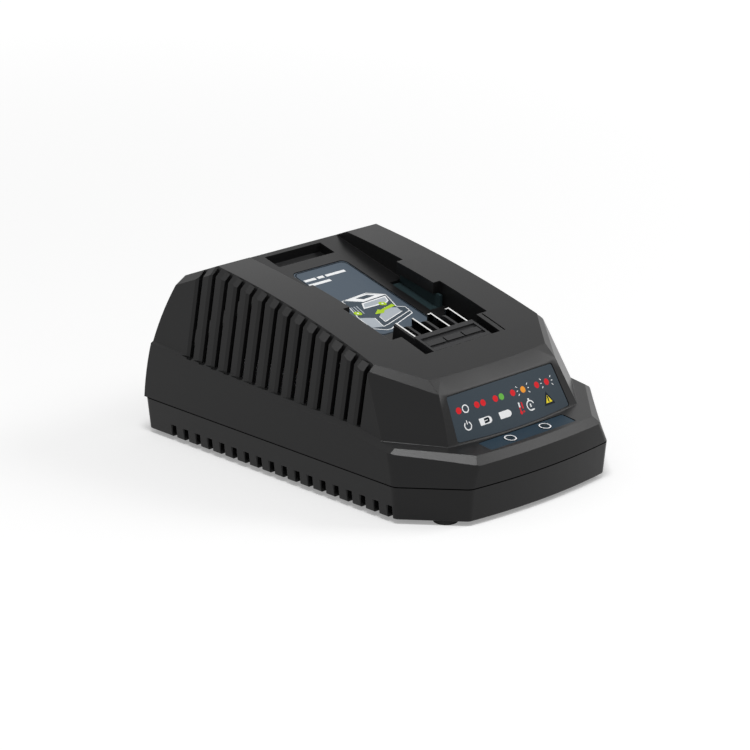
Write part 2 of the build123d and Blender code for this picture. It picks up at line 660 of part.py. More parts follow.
# ---------------------------------------------------------------- places of screws and feet
PILLARS = [
    (FRONT_PILLAR_X, FRONT_Y + FRONT_PILLAR_SETBACK),
    (-FRONT_PILLAR_X, FRONT_Y + FRONT_PILLAR_SETBACK),
    (REAR_PILLAR_X, BACK_Y - REAR_PILLAR_SETBACK),
    (-REAR_PILLAR_X, BACK_Y - REAR_PILLAR_SETBACK),
]
STANDOFFS = [
    (side * STANDOFF_X, y)
    for y in (BOARD_FRONT_Y + STANDOFF_EDGE, BOARD_BACK_Y - STANDOFF_EDGE)
    for side in (1, -1)
]
INDICATOR_POSTS = [(side * INDICATOR_POST_X, WINDOW_Y) for side in (1, -1)]
HOLDER_SCREWS = [(side * HOLDER_SCREW_X, THROAT_Y + HOLDER_SCREW_SETBACK) for side in (1, -1)]
FEET = {
    "foot_front_right": (FRONT_FOOT_X, FRONT_Y + FRONT_FOOT_SETBACK),
    "foot_front_left": (-FRONT_FOOT_X, FRONT_Y + FRONT_FOOT_SETBACK),
    "foot_rear_right": (REAR_FOOT_X, BACK_Y - REAR_FOOT_SETBACK),
    "foot_rear_left": (-REAR_FOOT_X, BACK_Y - REAR_FOOT_SETBACK),
}


def holder_hole_top(y):
    """Blind end of a holder screw's hole, below the surface of the bay floor."""
    return floor_z(y) - FILM_RECESS


# ---------------------------------------------------------------- housing pieces
def rails(block):
    """The two short rails that stand out over the bay floor, flush with the deck."""
    y = (FRONT_Y + RAIL_SETBACK, FRONT_Y + RAIL_SETBACK + RAIL_LENGTH)
    band = [(end, deck_z(end) - RAIL_HEIGHT) for end in y] + [(y[1], FAR), (y[0], FAR)]
    x = (BAY_HALF_WIDTH - RAIL_WIDTH, BAY_HALF_WIDTH + WALL / 2)
    rail = side_profile(band, FAR / 2) & box(x, y, (0, FAR)) & block
    return both_sides(rail)


def floor_band(y, above, below, half_width):
    """A slab across the body that follows the bay floor between two y limits."""
    points = [(end, floor_z(end) + above) for end in y]
    points += [(end, floor_z(end) - below) for end in reversed(y)]
    return side_profile(points, half_width)


def latch_pocket(inset):
    """The pocket behind the label that takes the battery's latch."""
    y = (FRONT_Y + LATCH_SETBACK - inset, FRONT_Y + LATCH_SETBACK + LATCH_LENGTH + inset)
    above = 0.0 if inset else 5.0
    return floor_band(y, above, LATCH_DEPTH + inset, LATCH_HALF_WIDTH + inset)


def core_limits():
    """Limits in X and Y of the opening in the bay floor under the right-hand rail."""
    outer = BAY_HALF_WIDTH - CORE_SIDE_LEDGE
    rail_start = FRONT_Y + RAIL_SETBACK
    return (outer - CORE_WIDTH, outer), (rail_start - CORE_LEAD, rail_start + RAIL_LENGTH)


def core_outs():
    """The openings that the moulding tool leaves in the floor under both rails."""
    x, y = core_limits()
    return both_sides(floor_band(y, 1.0, 2 * WALL, FAR / 2) & box(x, y, (0, FAR)))


def grown(limits, growth):
    """A pair of limits moved apart by growth at each end."""
    return (limits[0] - growth, limits[1] + growth)


def rail_liners():
    """Liners that close both openings: sunk floor, upright below the rail, lip under the bay floor."""
    x, y = core_limits()
    seat_x, seat_y = grown(x, -SEAT_GAP), grown(y, -SEAT_GAP)
    lip_y = grown(y, LINER_LIP)
    under = WALL + SEAT_GAP
    foot = under + LINER_THICKNESS
    liner = floor_band(seat_y, -LINER_SINK, foot, FAR / 2) & box(seat_x, seat_y, (0, FAR))
    liner += floor_band(lip_y, -under, foot, FAR / 2) & box(grown(x, LINER_LIP), lip_y, (0, FAR))
    side = [(end, deck_z(end) - RAIL_HEIGHT - SEAT_GAP) for end in seat_y]
    side += [(end, floor_z(end) - under) for end in reversed(seat_y)]
    upright_x = (seat_x[1] - LINER_THICKNESS, seat_x[1])
    liner += side_profile(side, FAR / 2) & box(upright_x, seat_y, (0, FAR))
    return both_sides(liner)


def slope_plane(y, height, slope):
    """A plane that rises towards +Y with the given slope, through the middle at y and height."""
    angle = atan2(slope, 1)
    return Plane(origin=(0, y, height), x_dir=(1, 0, 0), z_dir=(0, -sin(angle), cos(angle)))


def film(plane, outline, recess, gap):
    """A printed film in its recess: the recess cutter first, then the film itself."""
    pocket = extrude(plane.offset(-recess) * offset(outline, gap), recess + 3)
    sheet = extrude(plane.offset(-recess) * outline, FILM)
    return pocket, sheet


def bay_film():
    """Recess and film of the label in the bay floor."""
    middle = FRONT_Y + BAY_LABEL_SETBACK + BAY_LABEL_LENGTH / 2
    plane = slope_plane(middle, floor_z(middle), BAY_FLOOR_SLOPE)
    length = BAY_LABEL_LENGTH * hypot(1, BAY_FLOOR_SLOPE)
    outline = RectangleRounded(2 * BAY_LABEL_HALF_WIDTH, length, LABEL_CORNER)
    return film(plane, outline, FILM_RECESS, FILM_GAP)


def shelf_film():
    """Recess and film of the label on the shelf, with holes for the two windows."""
    front = FRONT_Y + SHELF_LABEL_FRONT_SETBACK
    back = FRONT_Y + SHELF_LABEL_BACK_SETBACK
    middle = (front + back) / 2
    plane = slope_plane(middle, shelf_z(middle), SHELF_SLOPE)
    outline = RectangleRounded(2 * SHELF_LABEL_HALF_WIDTH, back - front, LABEL_CORNER / 3)
    pocket, sheet = film(plane, outline, FILM_RECESS, FILM_GAP)
    for side in (1, -1):
        sheet -= post(side * WINDOW_X, WINDOW_Y, (PARTING_Z, DECK_FRONT_Z), WINDOW_DIAMETER / 2 + SEAT_GAP)
    return pocket, sheet


def face_wedge(depth):
    """Everything behind the status face when the face is moved inwards by depth."""
    slope = (FACE_TOP_SETBACK - FACE_FOOT_SETBACK) / (FACE_TOP_Z - FACE_FOOT_Z)
    shift = depth * hypot(1, slope)
    bow_slope = (FACE_TOP_BOW - FACE_FOOT_BOW) / (FACE_TOP_Z - FACE_FOOT_Z)
    sections = []
    for z in (FACE_FOOT_Z - 8, FACE_TOP_Z + 6):
        rise = z - FACE_FOOT_Z
        middle_y = FRONT_Y + FACE_FOOT_SETBACK + shift + slope * rise
        sections.append(bowed_section(z, middle_y, FACE_FOOT_BOW + bow_slope * rise, FACE_BOW_SPAN))
    return loft(sections, ruled=True)


def status_prism(gap):
    """The outline of the status film, grown by gap, as a prism through the status face."""
    slope = (FACE_TOP_SETBACK - FACE_FOOT_SETBACK) / (FACE_TOP_Z - FACE_FOOT_Z)
    tilt = atan2(slope, 1)
    foot = (0, FRONT_Y + FACE_FOOT_SETBACK, FACE_FOOT_Z)
    plane = Plane(origin=foot, x_dir=(1, 0, 0), z_dir=(0, -cos(tilt), sin(tilt)))
    foot_left = (-STATUS_HALF_WIDTH_FOOT, STATUS_FOOT)
    foot_right = (STATUS_HALF_WIDTH_FOOT, STATUS_FOOT)
    edge = ThreePointArc(foot_left, (0, STATUS_FOOT - STATUS_FOOT_SAG), foot_right)
    top_right = (STATUS_HALF_WIDTH_TOP, STATUS_TOP)
    top_left = (-STATUS_HALF_WIDTH_TOP, STATUS_TOP)
    outline = make_face(edge + Polyline(foot_right, top_right, top_left, foot_left))
    outline = fillet(outline.vertices(), LABEL_CORNER / 3)
    return extrude(plane * offset(outline, gap), 5, both=True)


def status_film():
    """Recess and film of the status panel, both bowed like the face."""
    back = face_wedge(FILM_RECESS)
    pocket = status_prism(FILM_GAP) - back
    sheet = status_prism(0.0) & face_wedge(FILM_RECESS - FILM) - back
    return pocket, sheet


def holder_opening():
    """The opening in the bay floor through which the terminal block stands up."""
    y = (THROAT_Y, THROAT_Y + BRIDGE_LENGTH + CHEEK_LENGTH + SEAT_GAP)
    return floor_band(y, 1.0, 2 * WALL, CHEEK_X + SEAT_GAP)


def upper_housing():
    """Top casing: a shell with the battery bay, vents, label recesses and screw pillars."""
    block = outer_form(0.0)
    cavity = outer_form(WALL)
    room = cavity - bay_block(WALL) - latch_pocket(WALL)
    body = block - room - bay_block(0.0) + rails(block)
    body += [post(x, y, (PARTING_Z, RIDGE_Z), PILLAR_RADIUS) & cavity for x, y in PILLARS]
    cutters = [latch_pocket(0.0), bay_film()[0], shelf_film()[0], status_film()[0], holder_opening()]
    cutters += core_outs()
    for cutter in louvre_cutters() + grille_cutters():
        cutters += both_sides(cutter)
    groove_y = (THROAT_Y, THROAT_Y + SIDE_GROOVE_LENGTH)
    groove = [(end, deck_z(end) - SIDE_GROOVE_DEPTH) for end in groove_y]
    groove += [(groove_y[1], FAR), (groove_y[0], FAR)]
    cutters.append(Pos(SIDE_GROOVE_X, 0, 0) * side_profile(groove, SIDE_GROOVE_WIDTH / 2))
    for side in (1, -1):
        cutters.append(
            post(side * WINDOW_X, WINDOW_Y, (PARTING_Z, DECK_FRONT_Z), WINDOW_DIAMETER / 2 + PRESS_GAP))
    for x, y in PILLARS:
        cutters.append(post(x, y, (PARTING_Z - 1, SCREW_TIP_Z + 1), SCREW_RADIUS + PRESS_GAP))
    for x, y in HOLDER_SCREWS:
        hole = (holder_screw_seat(y), holder_hole_top(y))
        cutters.append(post(x, y, hole, HOLDER_SCREW_RADIUS + PRESS_GAP))
    return body - cutters


def lower_housing():
    """Bottom casing: a tray with floor-level vents, screw pillars, standoffs and the inlet opening."""
    depth = PARTING_Z - BASE_Z
    bow = HALF_WIDTH**2 / (2 * BACK_BOW_RADIUS)
    bottom = Pos(0, 0, -depth) * plan(0.0, LOWER_DRAFT, BACK_Y, bow)
    shadow = plan(0.0, SEAM, BACK_Y, bow)
    rim = Pos(0, 0, -SEAM) * plan(0.0, 0.0, BACK_Y, bow)
    body = loft([bottom, rim], ruled=True)
    body = fillet(body.edges().group_by(Axis.Z)[0], LOWER_EDGE_RADIUS)
    body += extrude(Pos(0, 0, -SEAM) * shadow, SEAM)
    cavity = loft([Pos(0, 0, WALL - depth) * plan(0.0, LOWER_DRAFT + WALL, BACK_Y, bow),
                   plan(0.0, WALL, BACK_Y, bow)], ruled=True)
    solid = body
    body = body - cavity
    uprights = [post(x, y, (BASE_Z, PARTING_Z), PILLAR_RADIUS) for x, y in PILLARS]
    uprights += [post(x, y, (BASE_Z, BOARD_Z), STANDOFF_RADIUS) for x, y in STANDOFFS]
    uprights += [post(x, y, (BASE_Z, INDICATOR_BOARD_Z), STANDOFF_RADIUS) for x, y in INDICATOR_POSTS]
    body += [upright & solid for upright in uprights]
    cutters = []
    for cutter in notch_cutters():
        cutters += both_sides(cutter)
    for x, y in PILLARS:
        cutters.append(post(x, y, (-1, SCREW_SEAT_Z), SCREW_HEAD_RADIUS + SCREW_CLEARANCE))
        cutters.append(post(x, y, (-1, PARTING_Z + 1), SCREW_RADIUS + SCREW_CLEARANCE))
    for x, y in STANDOFFS:
        cutters.append(post(x, y, (BASE_Z + WALL, BOARD_Z + 1), BOARD_SCREW_RADIUS + PRESS_GAP))
    for x, y in FEET.values():
        cutters.append(post(x, y, (-1, BASE_Z + FOOT_SOCKET_DEPTH), FOOT_RADIUS + SEAT_GAP))
    half_x = INLET_WIDTH / 2 + SEAT_GAP
    half_z = INLET_HEIGHT / 2 + SEAT_GAP
    cutters.append(box((INLET_X - half_x, INLET_X + half_x), (BACK_Y - 10, BACK_Y + 5),
                       (INLET_Z - half_z, INLET_Z + half_z)))
    return body - cutters


def foot(x, y):
    """A rubber foot pressed into its socket, with an eased lower edge."""
    disc = post(x, y, (0, BASE_Z + FOOT_SOCKET_DEPTH), FOOT_RADIUS)
    return fillet(disc.edges().group_by(Axis.Z)[0], SEAM)


# ---------------------------------------------------------------- terminal block
def blade_outline(rear, top_drop):
    """Side outline of a contact blade, from the bridge to the rear limit, with its tail."""
    front = THROAT_Y + BRIDGE_LENGTH + SEAT_GAP
    root = floor_z(front) - FLANGE_THICKNESS
    tail = (front + BLADE_TAIL_START, front + BLADE_TAIL_START + BLADE_TAIL_WIDTH)
    bottom = floor_z(front) - WALL - FLANGE_THICKNESS - BLADE_TAIL
    return [
        (front, deck_z(front) - top_drop), (rear, deck_z(rear) - top_drop), (rear, root),
        (tail[1], root), (tail[1], bottom), (tail[0], bottom), (tail[0], root), (front, root),
    ]


def blade(index):
    """One contact blade; the last two have the end of the blade folded over as a lead-in."""
    x = BLADE_CENTRE_X + (index - 1.5) * BLADE_PITCH
    if index == 0:
        x = CHEEK_THICKNESS + BLADE_THICKNESS / 2 - CHEEK_X + SEAT_GAP
    rear = THROAT_Y + BRIDGE_LENGTH + BLADE_LENGTH
    body = Pos(x, 0, 0) * side_profile(blade_outline(rear, SEAT_GAP), BLADE_THICKNESS / 2)
    if index >= 2:
        top = deck_z(rear) - 2 * SEAT_GAP
        limits = (x - BLADE_THICKNESS / 2 - BLADE_FOLD, x)
        body += box(limits, (rear - BLADE_THICKNESS, rear), (top - BLADE_FOLD_HEIGHT, top))
    return body


def terminal_holder():
    """Moulded carrier of the blades: base in the bay floor, bridge, cheeks, fins and flange."""
    front = THROAT_Y + SEAT_GAP
    rear = THROAT_Y + BRIDGE_LENGTH + CHEEK_LENGTH
    bridge_end = THROAT_Y + BRIDGE_LENGTH
    base = floor_band((front, rear), 0.0, WALL + SEAT_GAP, CHEEK_X)
    flange_y = (front, rear + FLANGE_TAIL)
    flange = floor_band(flange_y, -WALL - SEAT_GAP, WALL + SEAT_GAP + FLANGE_THICKNESS, FLANGE_HALF_WIDTH)
    top = [(end, deck_z(end)) for end in (front, bridge_end)]
    bottom = [(end, floor_z(end) - SEAT_GAP) for end in (bridge_end, front)]
    bridge = side_profile(top + bottom, BLOCK_HALF_WIDTH)
    body = base + flange + bridge
    for side, drop in ((-1, SEAM), (1, RIGHT_CHEEK_DROP)):
        ends = (bridge_end - CHEEK_THICKNESS, rear - CHEEK_TAPER)
        cheek = [(end, deck_z(end) - drop) for end in ends]
        cheek += [(rear, floor_z(rear) - SEAT_GAP), (ends[0], floor_z(ends[0]) - SEAT_GAP)]
        limits = sorted((side * CHEEK_X, side * (CHEEK_X - CHEEK_THICKNESS)))
        body += side_profile(cheek, HALF_WIDTH) & box(limits, (front, rear), (0, FAR))
    fin_end = bridge_end + BLADE_LENGTH
    for index in (-1, 0, 1):
        outline = make_face(Plane.YZ * Polyline(
            (bridge_end - 1, floor_z(bridge_end) - 1), (bridge_end - 1, deck_z(bridge_end - 1) - SEAM),
            (fin_end, deck_z(fin_end) - SEAM), (fin_end, floor_z(fin_end) - 1), close=True,
        ))
        corner = outline.vertices().sort_by(Axis.Z)[-1]
        fin = extrude(fillet(corner, FIN_RADIUS), FIN_THICKNESS / 2, both=True)
        body += Pos(FIN_CENTRE_X + index * FIN_SPACING, 0, 0) * fin
    # Sunk panel in the top of the bridge, with raised tiles
    deck_slope = (deck_z(bridge_end) - deck_z(front)) / (bridge_end - front)
    panel_rear = bridge_end - PANEL_REAR_RIM
    panel_depth = BRIDGE_LENGTH - PANEL_REAR_RIM - PANEL_FRONT_RIM
    panel_half = BLOCK_HALF_WIDTH - PANEL_SIDE_RIM
    sunk = slope_plane(panel_rear, deck_z(panel_rear), deck_slope).offset(-PANEL_RECESS)
    panel = Pos(0, -panel_depth / 2) * Rectangle(2 * panel_half, panel_depth)
    body -= extrude(sunk * panel, PANEL_RECESS + 2)
    tile_pitch = 2 * panel_half / TILE_COUNT
    for index in range(TILE_COUNT):
        tile_x = (index - (TILE_COUNT - 1) / 2) * tile_pitch
        tile = Pos(tile_x, -TILE_SETBACK - TILE_DEPTH / 2) * Rectangle(tile_pitch - TILE_GAP, TILE_DEPTH)
        body += extrude(sunk * tile, TILE_HEIGHT)
    slots = []
    for index in range(len(BLADES)):
        solid = blade(index)
        limits = solid.bounding_box()
        x = BLADE_CENTRE_X + (index - 1.5) * BLADE_PITCH if index else limits.center().X
        rear_y = THROAT_Y + BRIDGE_LENGTH + BLADE_LENGTH
        outline = make_face(Plane.YZ * Polyline(*blade_outline(rear_y, 0.0), close=True))
        outline = offset(outline, PRESS_GAP)
        slots.append(Pos(x, 0, 0) * extrude(outline, BLADE_THICKNESS / 2 + PRESS_GAP, both=True))
    for x, y in HOLDER_SCREWS:
        slots.append(post(x, y, (0, FAR), HOLDER_SCREW_RADIUS + SCREW_CLEARANCE))
    return body - slots


def light_pipe(side):
    """A clear window with a flange under the shelf, standing over its indicator LED."""
    x = side * WINDOW_X
    reach = INDICATOR_BOARD_Z + BOARD_THICKNESS + LED_HEIGHT + SEAT_GAP
    pipe = post(x, WINDOW_Y, (reach, DECK_FRONT_Z), WINDOW_DIAMETER / 2)
    collar = post(x, WINDOW_Y, (reach, DECK_FRONT_Z), WINDOW_DIAMETER / 2 + PIPE_COLLAR)
    ends = (WINDOW_Y - WINDOW_DIAMETER, WINDOW_Y + WINDOW_DIAMETER)
    foot = [(ends[1], 0), (ends[0], 0)]
    flush = [(end, shelf_z(end)) for end in ends] + foot
    under = [(end, shelf_z(end) - WALL - SEAT_GAP) for end in ends] + foot
    return (pipe & side_profile(flush, HALF_WIDTH)) + (collar & side_profile(under, HALF_WIDTH))


# ---------------------------------------------------------------- boards
def main_board():
    """Power board with chamfered front corners and its screw holes."""
    depth = BOARD_BACK_Y - BOARD_FRONT_Y
    outline = Rectangle(2 * BOARD_HALF_WIDTH, depth)
    outline = chamfer(outline.vertices().sort_by(Axis.Y)[:2], BOARD_CORNER)
    board = extrude(Pos(0, (BOARD_FRONT_Y + BOARD_BACK_Y) / 2, BOARD_Z) * outline, BOARD_THICKNESS)
    for x, y in STANDOFFS:
        board -= post(x, y, (0, FAR), BOARD_SCREW_RADIUS + SCREW_CLEARANCE)
    return board


def indicator_board():
    """Small board under the shelf that carries the two indicator LEDs."""
    y = (WINDOW_Y - INDICATOR_BOARD_DEPTH / 2, WINDOW_Y + INDICATOR_BOARD_DEPTH / 2)
    half = INDICATOR_BOARD_HALF_WIDTH
    board = box((-half, half), y, (INDICATOR_BOARD_Z, INDICATOR_BOARD_Z + BOARD_THICKNESS))
    return chamfer(board.edges().filter_by(Axis.Z), 1.5)


def led(x):
    """An indicator LED with its rim and domed top."""
    z = INDICATOR_BOARD_Z + BOARD_THICKNESS
    lens = post(x, WINDOW_Y, (z, z + LED_HEIGHT), LED_RADIUS)
    lens = fillet(lens.edges().group_by(Axis.Z)[-1], LED_RADIUS * 0.8)
    return lens + post(x, WINDOW_Y, (z, z + LED_RIM_HEIGHT), LED_RADIUS + LED_RIM)


# ---------------------------------------------------------------- power parts
def transformer():
    """Core halves, bobbin and winding of the switching transformer."""
    x, y = TRANSFORMER_X, TRANSFORMER_Y
    low = BOARD_TOP + CORE_LIFT
    middle = low + CORE_HEIGHT / 2
    half_x, half_y = CORE_LENGTH / 2, CORE_DEPTH / 2
    frame = box((x - half_x, x + half_x), (y - half_y, y + half_y), (low, low + CORE_HEIGHT))
    window = CORE_HEIGHT - 2 * CORE_LIMB
    opening = box((x - half_x + CORE_LIMB, x + half_x - CORE_LIMB), (y - half_y - 1, y + half_y + 1),
                  (middle - window / 2, middle + window / 2))
    core = frame - opening + post(x, y, (middle - window / 2, middle + window / 2), CORE_LIMB)
    split_plane = Plane.XY.offset(middle)
    halves = [split(core, bisect_by=split_plane, keep=side) for side in (Keep.TOP, Keep.BOTTOM)]
    ends = (middle - window / 2 + SEAT_GAP, middle + window / 2 - SEAT_GAP)
    half_flange = half_x - CORE_LIMB - SEAT_GAP
    bobbin = post(x, y, ends, CORE_LIMB + BOBBIN_WALL)
    for z in (ends[0], ends[1] - BOBBIN_WALL):
        flange_z = (z, z + BOBBIN_WALL)
        bobbin += box((x - half_flange, x + half_flange), (y - CORE_DEPTH, y + CORE_DEPTH), flange_z)
    for side in (1, -1):
        limits = sorted((y + side * (half_y + 1), y + side * CORE_DEPTH))
        bobbin += box((x - half_flange, x + half_flange), limits, (BOARD_TOP, ends[0] + BOBBIN_WALL))
    bobbin -= post(x, y, (0, FAR), CORE_LIMB + SEAT_GAP)
    wound = grown(ends, -BOBBIN_WALL - SEAT_GAP)
    winding = post(x, y, wound, WINDING_RADIUS) - post(x, y, wound, CORE_LIMB + BOBBIN_WALL + SEAT_GAP)
    return halves, bobbin, winding


def heat_sink(x, y, length, height, side):
    """Extruded heat sink: an upright plate with fins on the side given."""
    half = SINK_THICKNESS / 2
    sink = box((x - half, x + half), (y - length / 2, y + length / 2), (BOARD_TOP, BOARD_TOP + height))
    for index in range(SINK_FIN_COUNT):
        fin_y = y - length / 2 + index * (length - SINK_FIN_WIDTH) / (SINK_FIN_COUNT - 1)
        limits = sorted((x, x + side * (half + SINK_FIN_LENGTH)))
        sink += box(limits, (fin_y, fin_y + SINK_FIN_WIDTH), (BOARD_TOP, BOARD_TOP + height))
    return sink


def power_package(x, y, side):
    """A three-legged power package with its tab lying on a heat sink face at x."""
    def across(near, far):
        return sorted((x + side * near, x + side * far))
    z = BOARD_TOP + LEG_HEIGHT
    width = (y - PACKAGE_WIDTH / 2, y + PACKAGE_WIDTH / 2)
    body = box(across(TAB_THICKNESS, PACKAGE_DEPTH), width, (z, z + PACKAGE_HEIGHT))
    body += box(across(0.0, TAB_THICKNESS), width, (z, z + TAB_HEIGHT))
    leg_face = PACKAGE_DEPTH / 2
    for index in (-1, 0, 1):
        leg_y = y + index * LEG_PITCH
        body += box(across(leg_face, leg_face + LEG_WIDTH), (leg_y - LEG_WIDTH / 2, leg_y + LEG_WIDTH / 2),
                    (BOARD_TOP, z + LEG_WIDTH))
    return body


def on_board(x, y, size):
    """A block part of the given width, depth and height, standing on the power board."""
    width, depth, height = size
    across, along = (x - width / 2, x + width / 2), (y - depth / 2, y + depth / 2)
    return box(across, along, (BOARD_TOP, BOARD_TOP + height))


def capacitor(x, y, radius, height):
    """An upright electrolytic can with an eased top and a crimp near its foot."""
    can = post(x, y, (BOARD_TOP, BOARD_TOP + height), radius)
    can = fillet(can.edges().group_by(Axis.Z)[-1], CAN_EDGE)
    crimp = (BOARD_TOP + CAN_CRIMP_Z, BOARD_TOP + CAN_CRIMP_Z + CAN_CRIMP_HEIGHT)
    return can - (post(x, y, crimp, radius + CAN_CRIMP) - post(x, y, crimp, radius - CAN_CRIMP))


def choke():
    """Ring core and the two windings of the line filter choke."""
    centre = Pos(CHOKE_X, CHOKE_Y, BOARD_TOP + CHOKE_WIRE + CHOKE_CORE_HEIGHT / 2)
    outer = CHOKE_RING_RADIUS + CHOKE_CORE_WIDTH / 2
    inner = CHOKE_RING_RADIUS - CHOKE_CORE_WIDTH / 2
    core = centre * (Cylinder(outer, CHOKE_CORE_HEIGHT) - Cylinder(inner, CHOKE_CORE_HEIGHT))
    section = Plane.XZ * (Pos(CHOKE_RING_RADIUS, 0) * (
        Rectangle(CHOKE_CORE_WIDTH + 2 * CHOKE_WIRE, CHOKE_CORE_HEIGHT + 2 * CHOKE_WIRE)
        - Rectangle(CHOKE_CORE_WIDTH + 2 * PRESS_GAP, CHOKE_CORE_HEIGHT + 2 * PRESS_GAP)))
    coil = revolve(section, Axis.Z, revolution_arc=CHOKE_WINDING_ARC)
    start = (180 - CHOKE_WINDING_ARC) / 2
    windings = [centre * (Rot(0, 0, turn) * coil) for turn in (start, start + 180)]
    return core, windings


def fuse():
    """Glass fuse with metal end caps in two clips, lying across the board."""
    z = BOARD_TOP + FUSE_RADIUS + FUSE_LIFT
    glass = Cylinder(FUSE_RADIUS - SEAT_GAP, FUSE_LENGTH - 2 * FUSE_CAP_LENGTH)
    tube = Pos(FUSE_X, FUSE_Y, z) * Rot(0, 90, 0) * glass
    ends = []
    for side in (1, -1):
        cap_x = FUSE_X + side * (FUSE_LENGTH - FUSE_CAP_LENGTH) / 2
        cap = Pos(cap_x, FUSE_Y, z) * Rot(0, 90, 0) * Cylinder(FUSE_RADIUS, FUSE_CAP_LENGTH)
        half = FUSE_CLIP_WIDTH / 2
        ends.append(cap + box((cap_x - half, cap_x + half), (FUSE_Y - half, FUSE_Y + half), (BOARD_TOP, z)))
    return tube, ends


def inlet_back():
    """Where the face of the inlet lies, just inside the bowed back wall."""
    return BACK_Y - INLET_X**2 / (2 * BACK_BOW_RADIUS) - INLET_SINK


def mains_inlet():
    """Two-pole appliance inlet in the back wall, with a figure-eight recess and an inner flange."""
    back = inlet_back()
    front = back - INLET_DEPTH
    half_x, half_z = INLET_WIDTH / 2, INLET_HEIGHT / 2
    body = box((INLET_X - half_x, INLET_X + half_x), (front, back), (INLET_Z - half_z, INLET_Z + half_z))
    flange_x = INLET_FLANGE + half_x
    wall_bow = (abs(INLET_X) + flange_x) ** 2 / (2 * BACK_BOW_RADIUS)
    wall_face = BACK_Y - wall_bow - WALL - LOWER_DRAFT - SEAT_GAP
    body += box((INLET_X - flange_x, INLET_X + flange_x), (wall_face - INLET_FLANGE, wall_face),
                (INLET_Z - half_z - 2 * SEAT_GAP, INLET_Z + half_z + 2 * SEAT_GAP))
    socket = SlotOverall(INLET_WIDTH - 2 * INLET_RIM, INLET_HEIGHT - 2 * INLET_RIM)
    plane = Plane(origin=(INLET_X, back, INLET_Z), x_dir=(1, 0, 0), z_dir=(0, -1, 0))
    body -= extrude(plane * socket, INLET_DEPTH - INLET_FLOOR)
    pins = []
    for side in (1, -1):
        centre = Pos(INLET_X + side * INLET_PIN_PITCH / 2, (front + back) / 2 - INLET_PIN_SINK, INLET_Z)
        pins.append(centre * Rot(90, 0, 0) * Cylinder(INLET_PIN_RADIUS, INLET_DEPTH))
        body -= centre * Rot(90, 0, 0) * Cylinder(INLET_PIN_RADIUS + PRESS_GAP, INLET_DEPTH)
    return body, pins


# ---------------------------------------------------------------- leads and screws
def lead(points, radius):
    """A round lead along straight runs joined by arcs."""
    path = FilletPolyline(*points, radius=LEAD_BEND)
    start = Plane(origin=path @ 0, z_dir=path % 0)
    return sweep(start * Circle(radius), path=path)


def inlet_leads():
    """Two leads from the inlet pins up over the edge of the board."""
    tail_y = inlet_back() - INLET_DEPTH - INLET_PIN_SINK
    bend_y = tail_y - 2 * LEAD_BEND
    land = tail_y - LEAD_SPAN
    high = BOARD_TOP + LEAD_RISE
    leads = []
    for side in (1, -1):
        x = INLET_X + side * INLET_PIN_PITCH / 2
        points = [(x, tail_y, INLET_Z), (x, bend_y, INLET_Z), (x, bend_y - LEAD_BEND, high), (x, land, high),
                  (x, land, BOARD_TOP)]
        leads.append(lead(points, LEAD_RADIUS))
    return leads


def terminal_leads():
    """Four leads from the blade tails down to the front of the power board."""
    front = THROAT_Y + BRIDGE_LENGTH + SEAT_GAP
    tail_y = front + BLADE_TAIL_START + BLADE_TAIL_WIDTH / 2
    tail_z = floor_z(front) - WALL - FLANGE_THICKNESS - BLADE_TAIL
    land = BOARD_FRONT_Y + LEAD_LANDING
    bends = (tail_z - LEAD_DROP, tail_z - 2 * LEAD_DROP)
    leads = []
    for index in range(len(BLADES)):
        x = blade(index).bounding_box().max.X - BLADE_THICKNESS / 2
        points = [(x, tail_y, tail_z), (x, tail_y, bends[0]), (x, land, bends[1]), (x, land, BOARD_TOP)]
        leads.append(lead(points, LEAD_RADIUS))
    return leads


def indicator_cable():
    """Flat cable from the indicator board to the front edge of the power board."""
    start = WINDOW_Y + INDICATOR_BOARD_DEPTH / 2 - 1.5
    half = FILM
    high = INDICATOR_BOARD_Z - half
    line = FilletPolyline((start, high), (start + 7, high), (start + 12, BOARD_TOP + 3),
                          (BOARD_FRONT_Y - 3, BOARD_TOP + 3), (BOARD_FRONT_Y + 1, BOARD_TOP + half),
                          (BOARD_FRONT_Y + 5, BOARD_TOP + half), radius=2.0)
    ribbon = Plane.YZ * trace(line, 2 * half)
    return extrude(ribbon, CABLE_HALF_WIDTH, both=True)


def holder_screw_seat(y):
    """Height at which a flat screw head clears the sloping underside of the holder's flange."""
    underside = floor_z(y - HOLDER_SCREW_HEAD_RADIUS) - WALL - SEAT_GAP - FLANGE_THICKNESS
    return underside - SEAT_GAP


def holder_screw(x, y):
    """A screw that runs up through the holder's flange into the bay floor."""
    seat = holder_screw_seat(y)
    length = holder_hole_top(y) - SEAT_GAP - seat
    return screw(x, y, seat, length, HOLDER_SCREW_RADIUS, HOLDER_SCREW_HEAD_RADIUS, HOLDER_SCREW_HEAD_HEIGHT)


def screw(x, y, seat_z, length, shank_radius, head_radius, head_height):
    """A pan-head screw that runs up from its seat, or down from it where the length is negative."""
    shank = post(x, y, sorted((seat_z, seat_z + length)), shank_radius)
    head_end = seat_z - head_height if length > 0 else seat_z + head_height
    return shank + post(x, y, sorted((seat_z, head_end)), head_radius)


# ---------------------------------------------------------------- nodes
def write(name, *solids):
    """Write one node as a STEP file; a node of several like pieces holds them side by side."""
    pieces = []
    for solid in solids:
        pieces += solid.solids()
    node = pieces[0] if len(pieces) == 1 else Compound(children=pieces)
    node.label = name
    export_step(node, os.path.join("parts", name + ".step"))


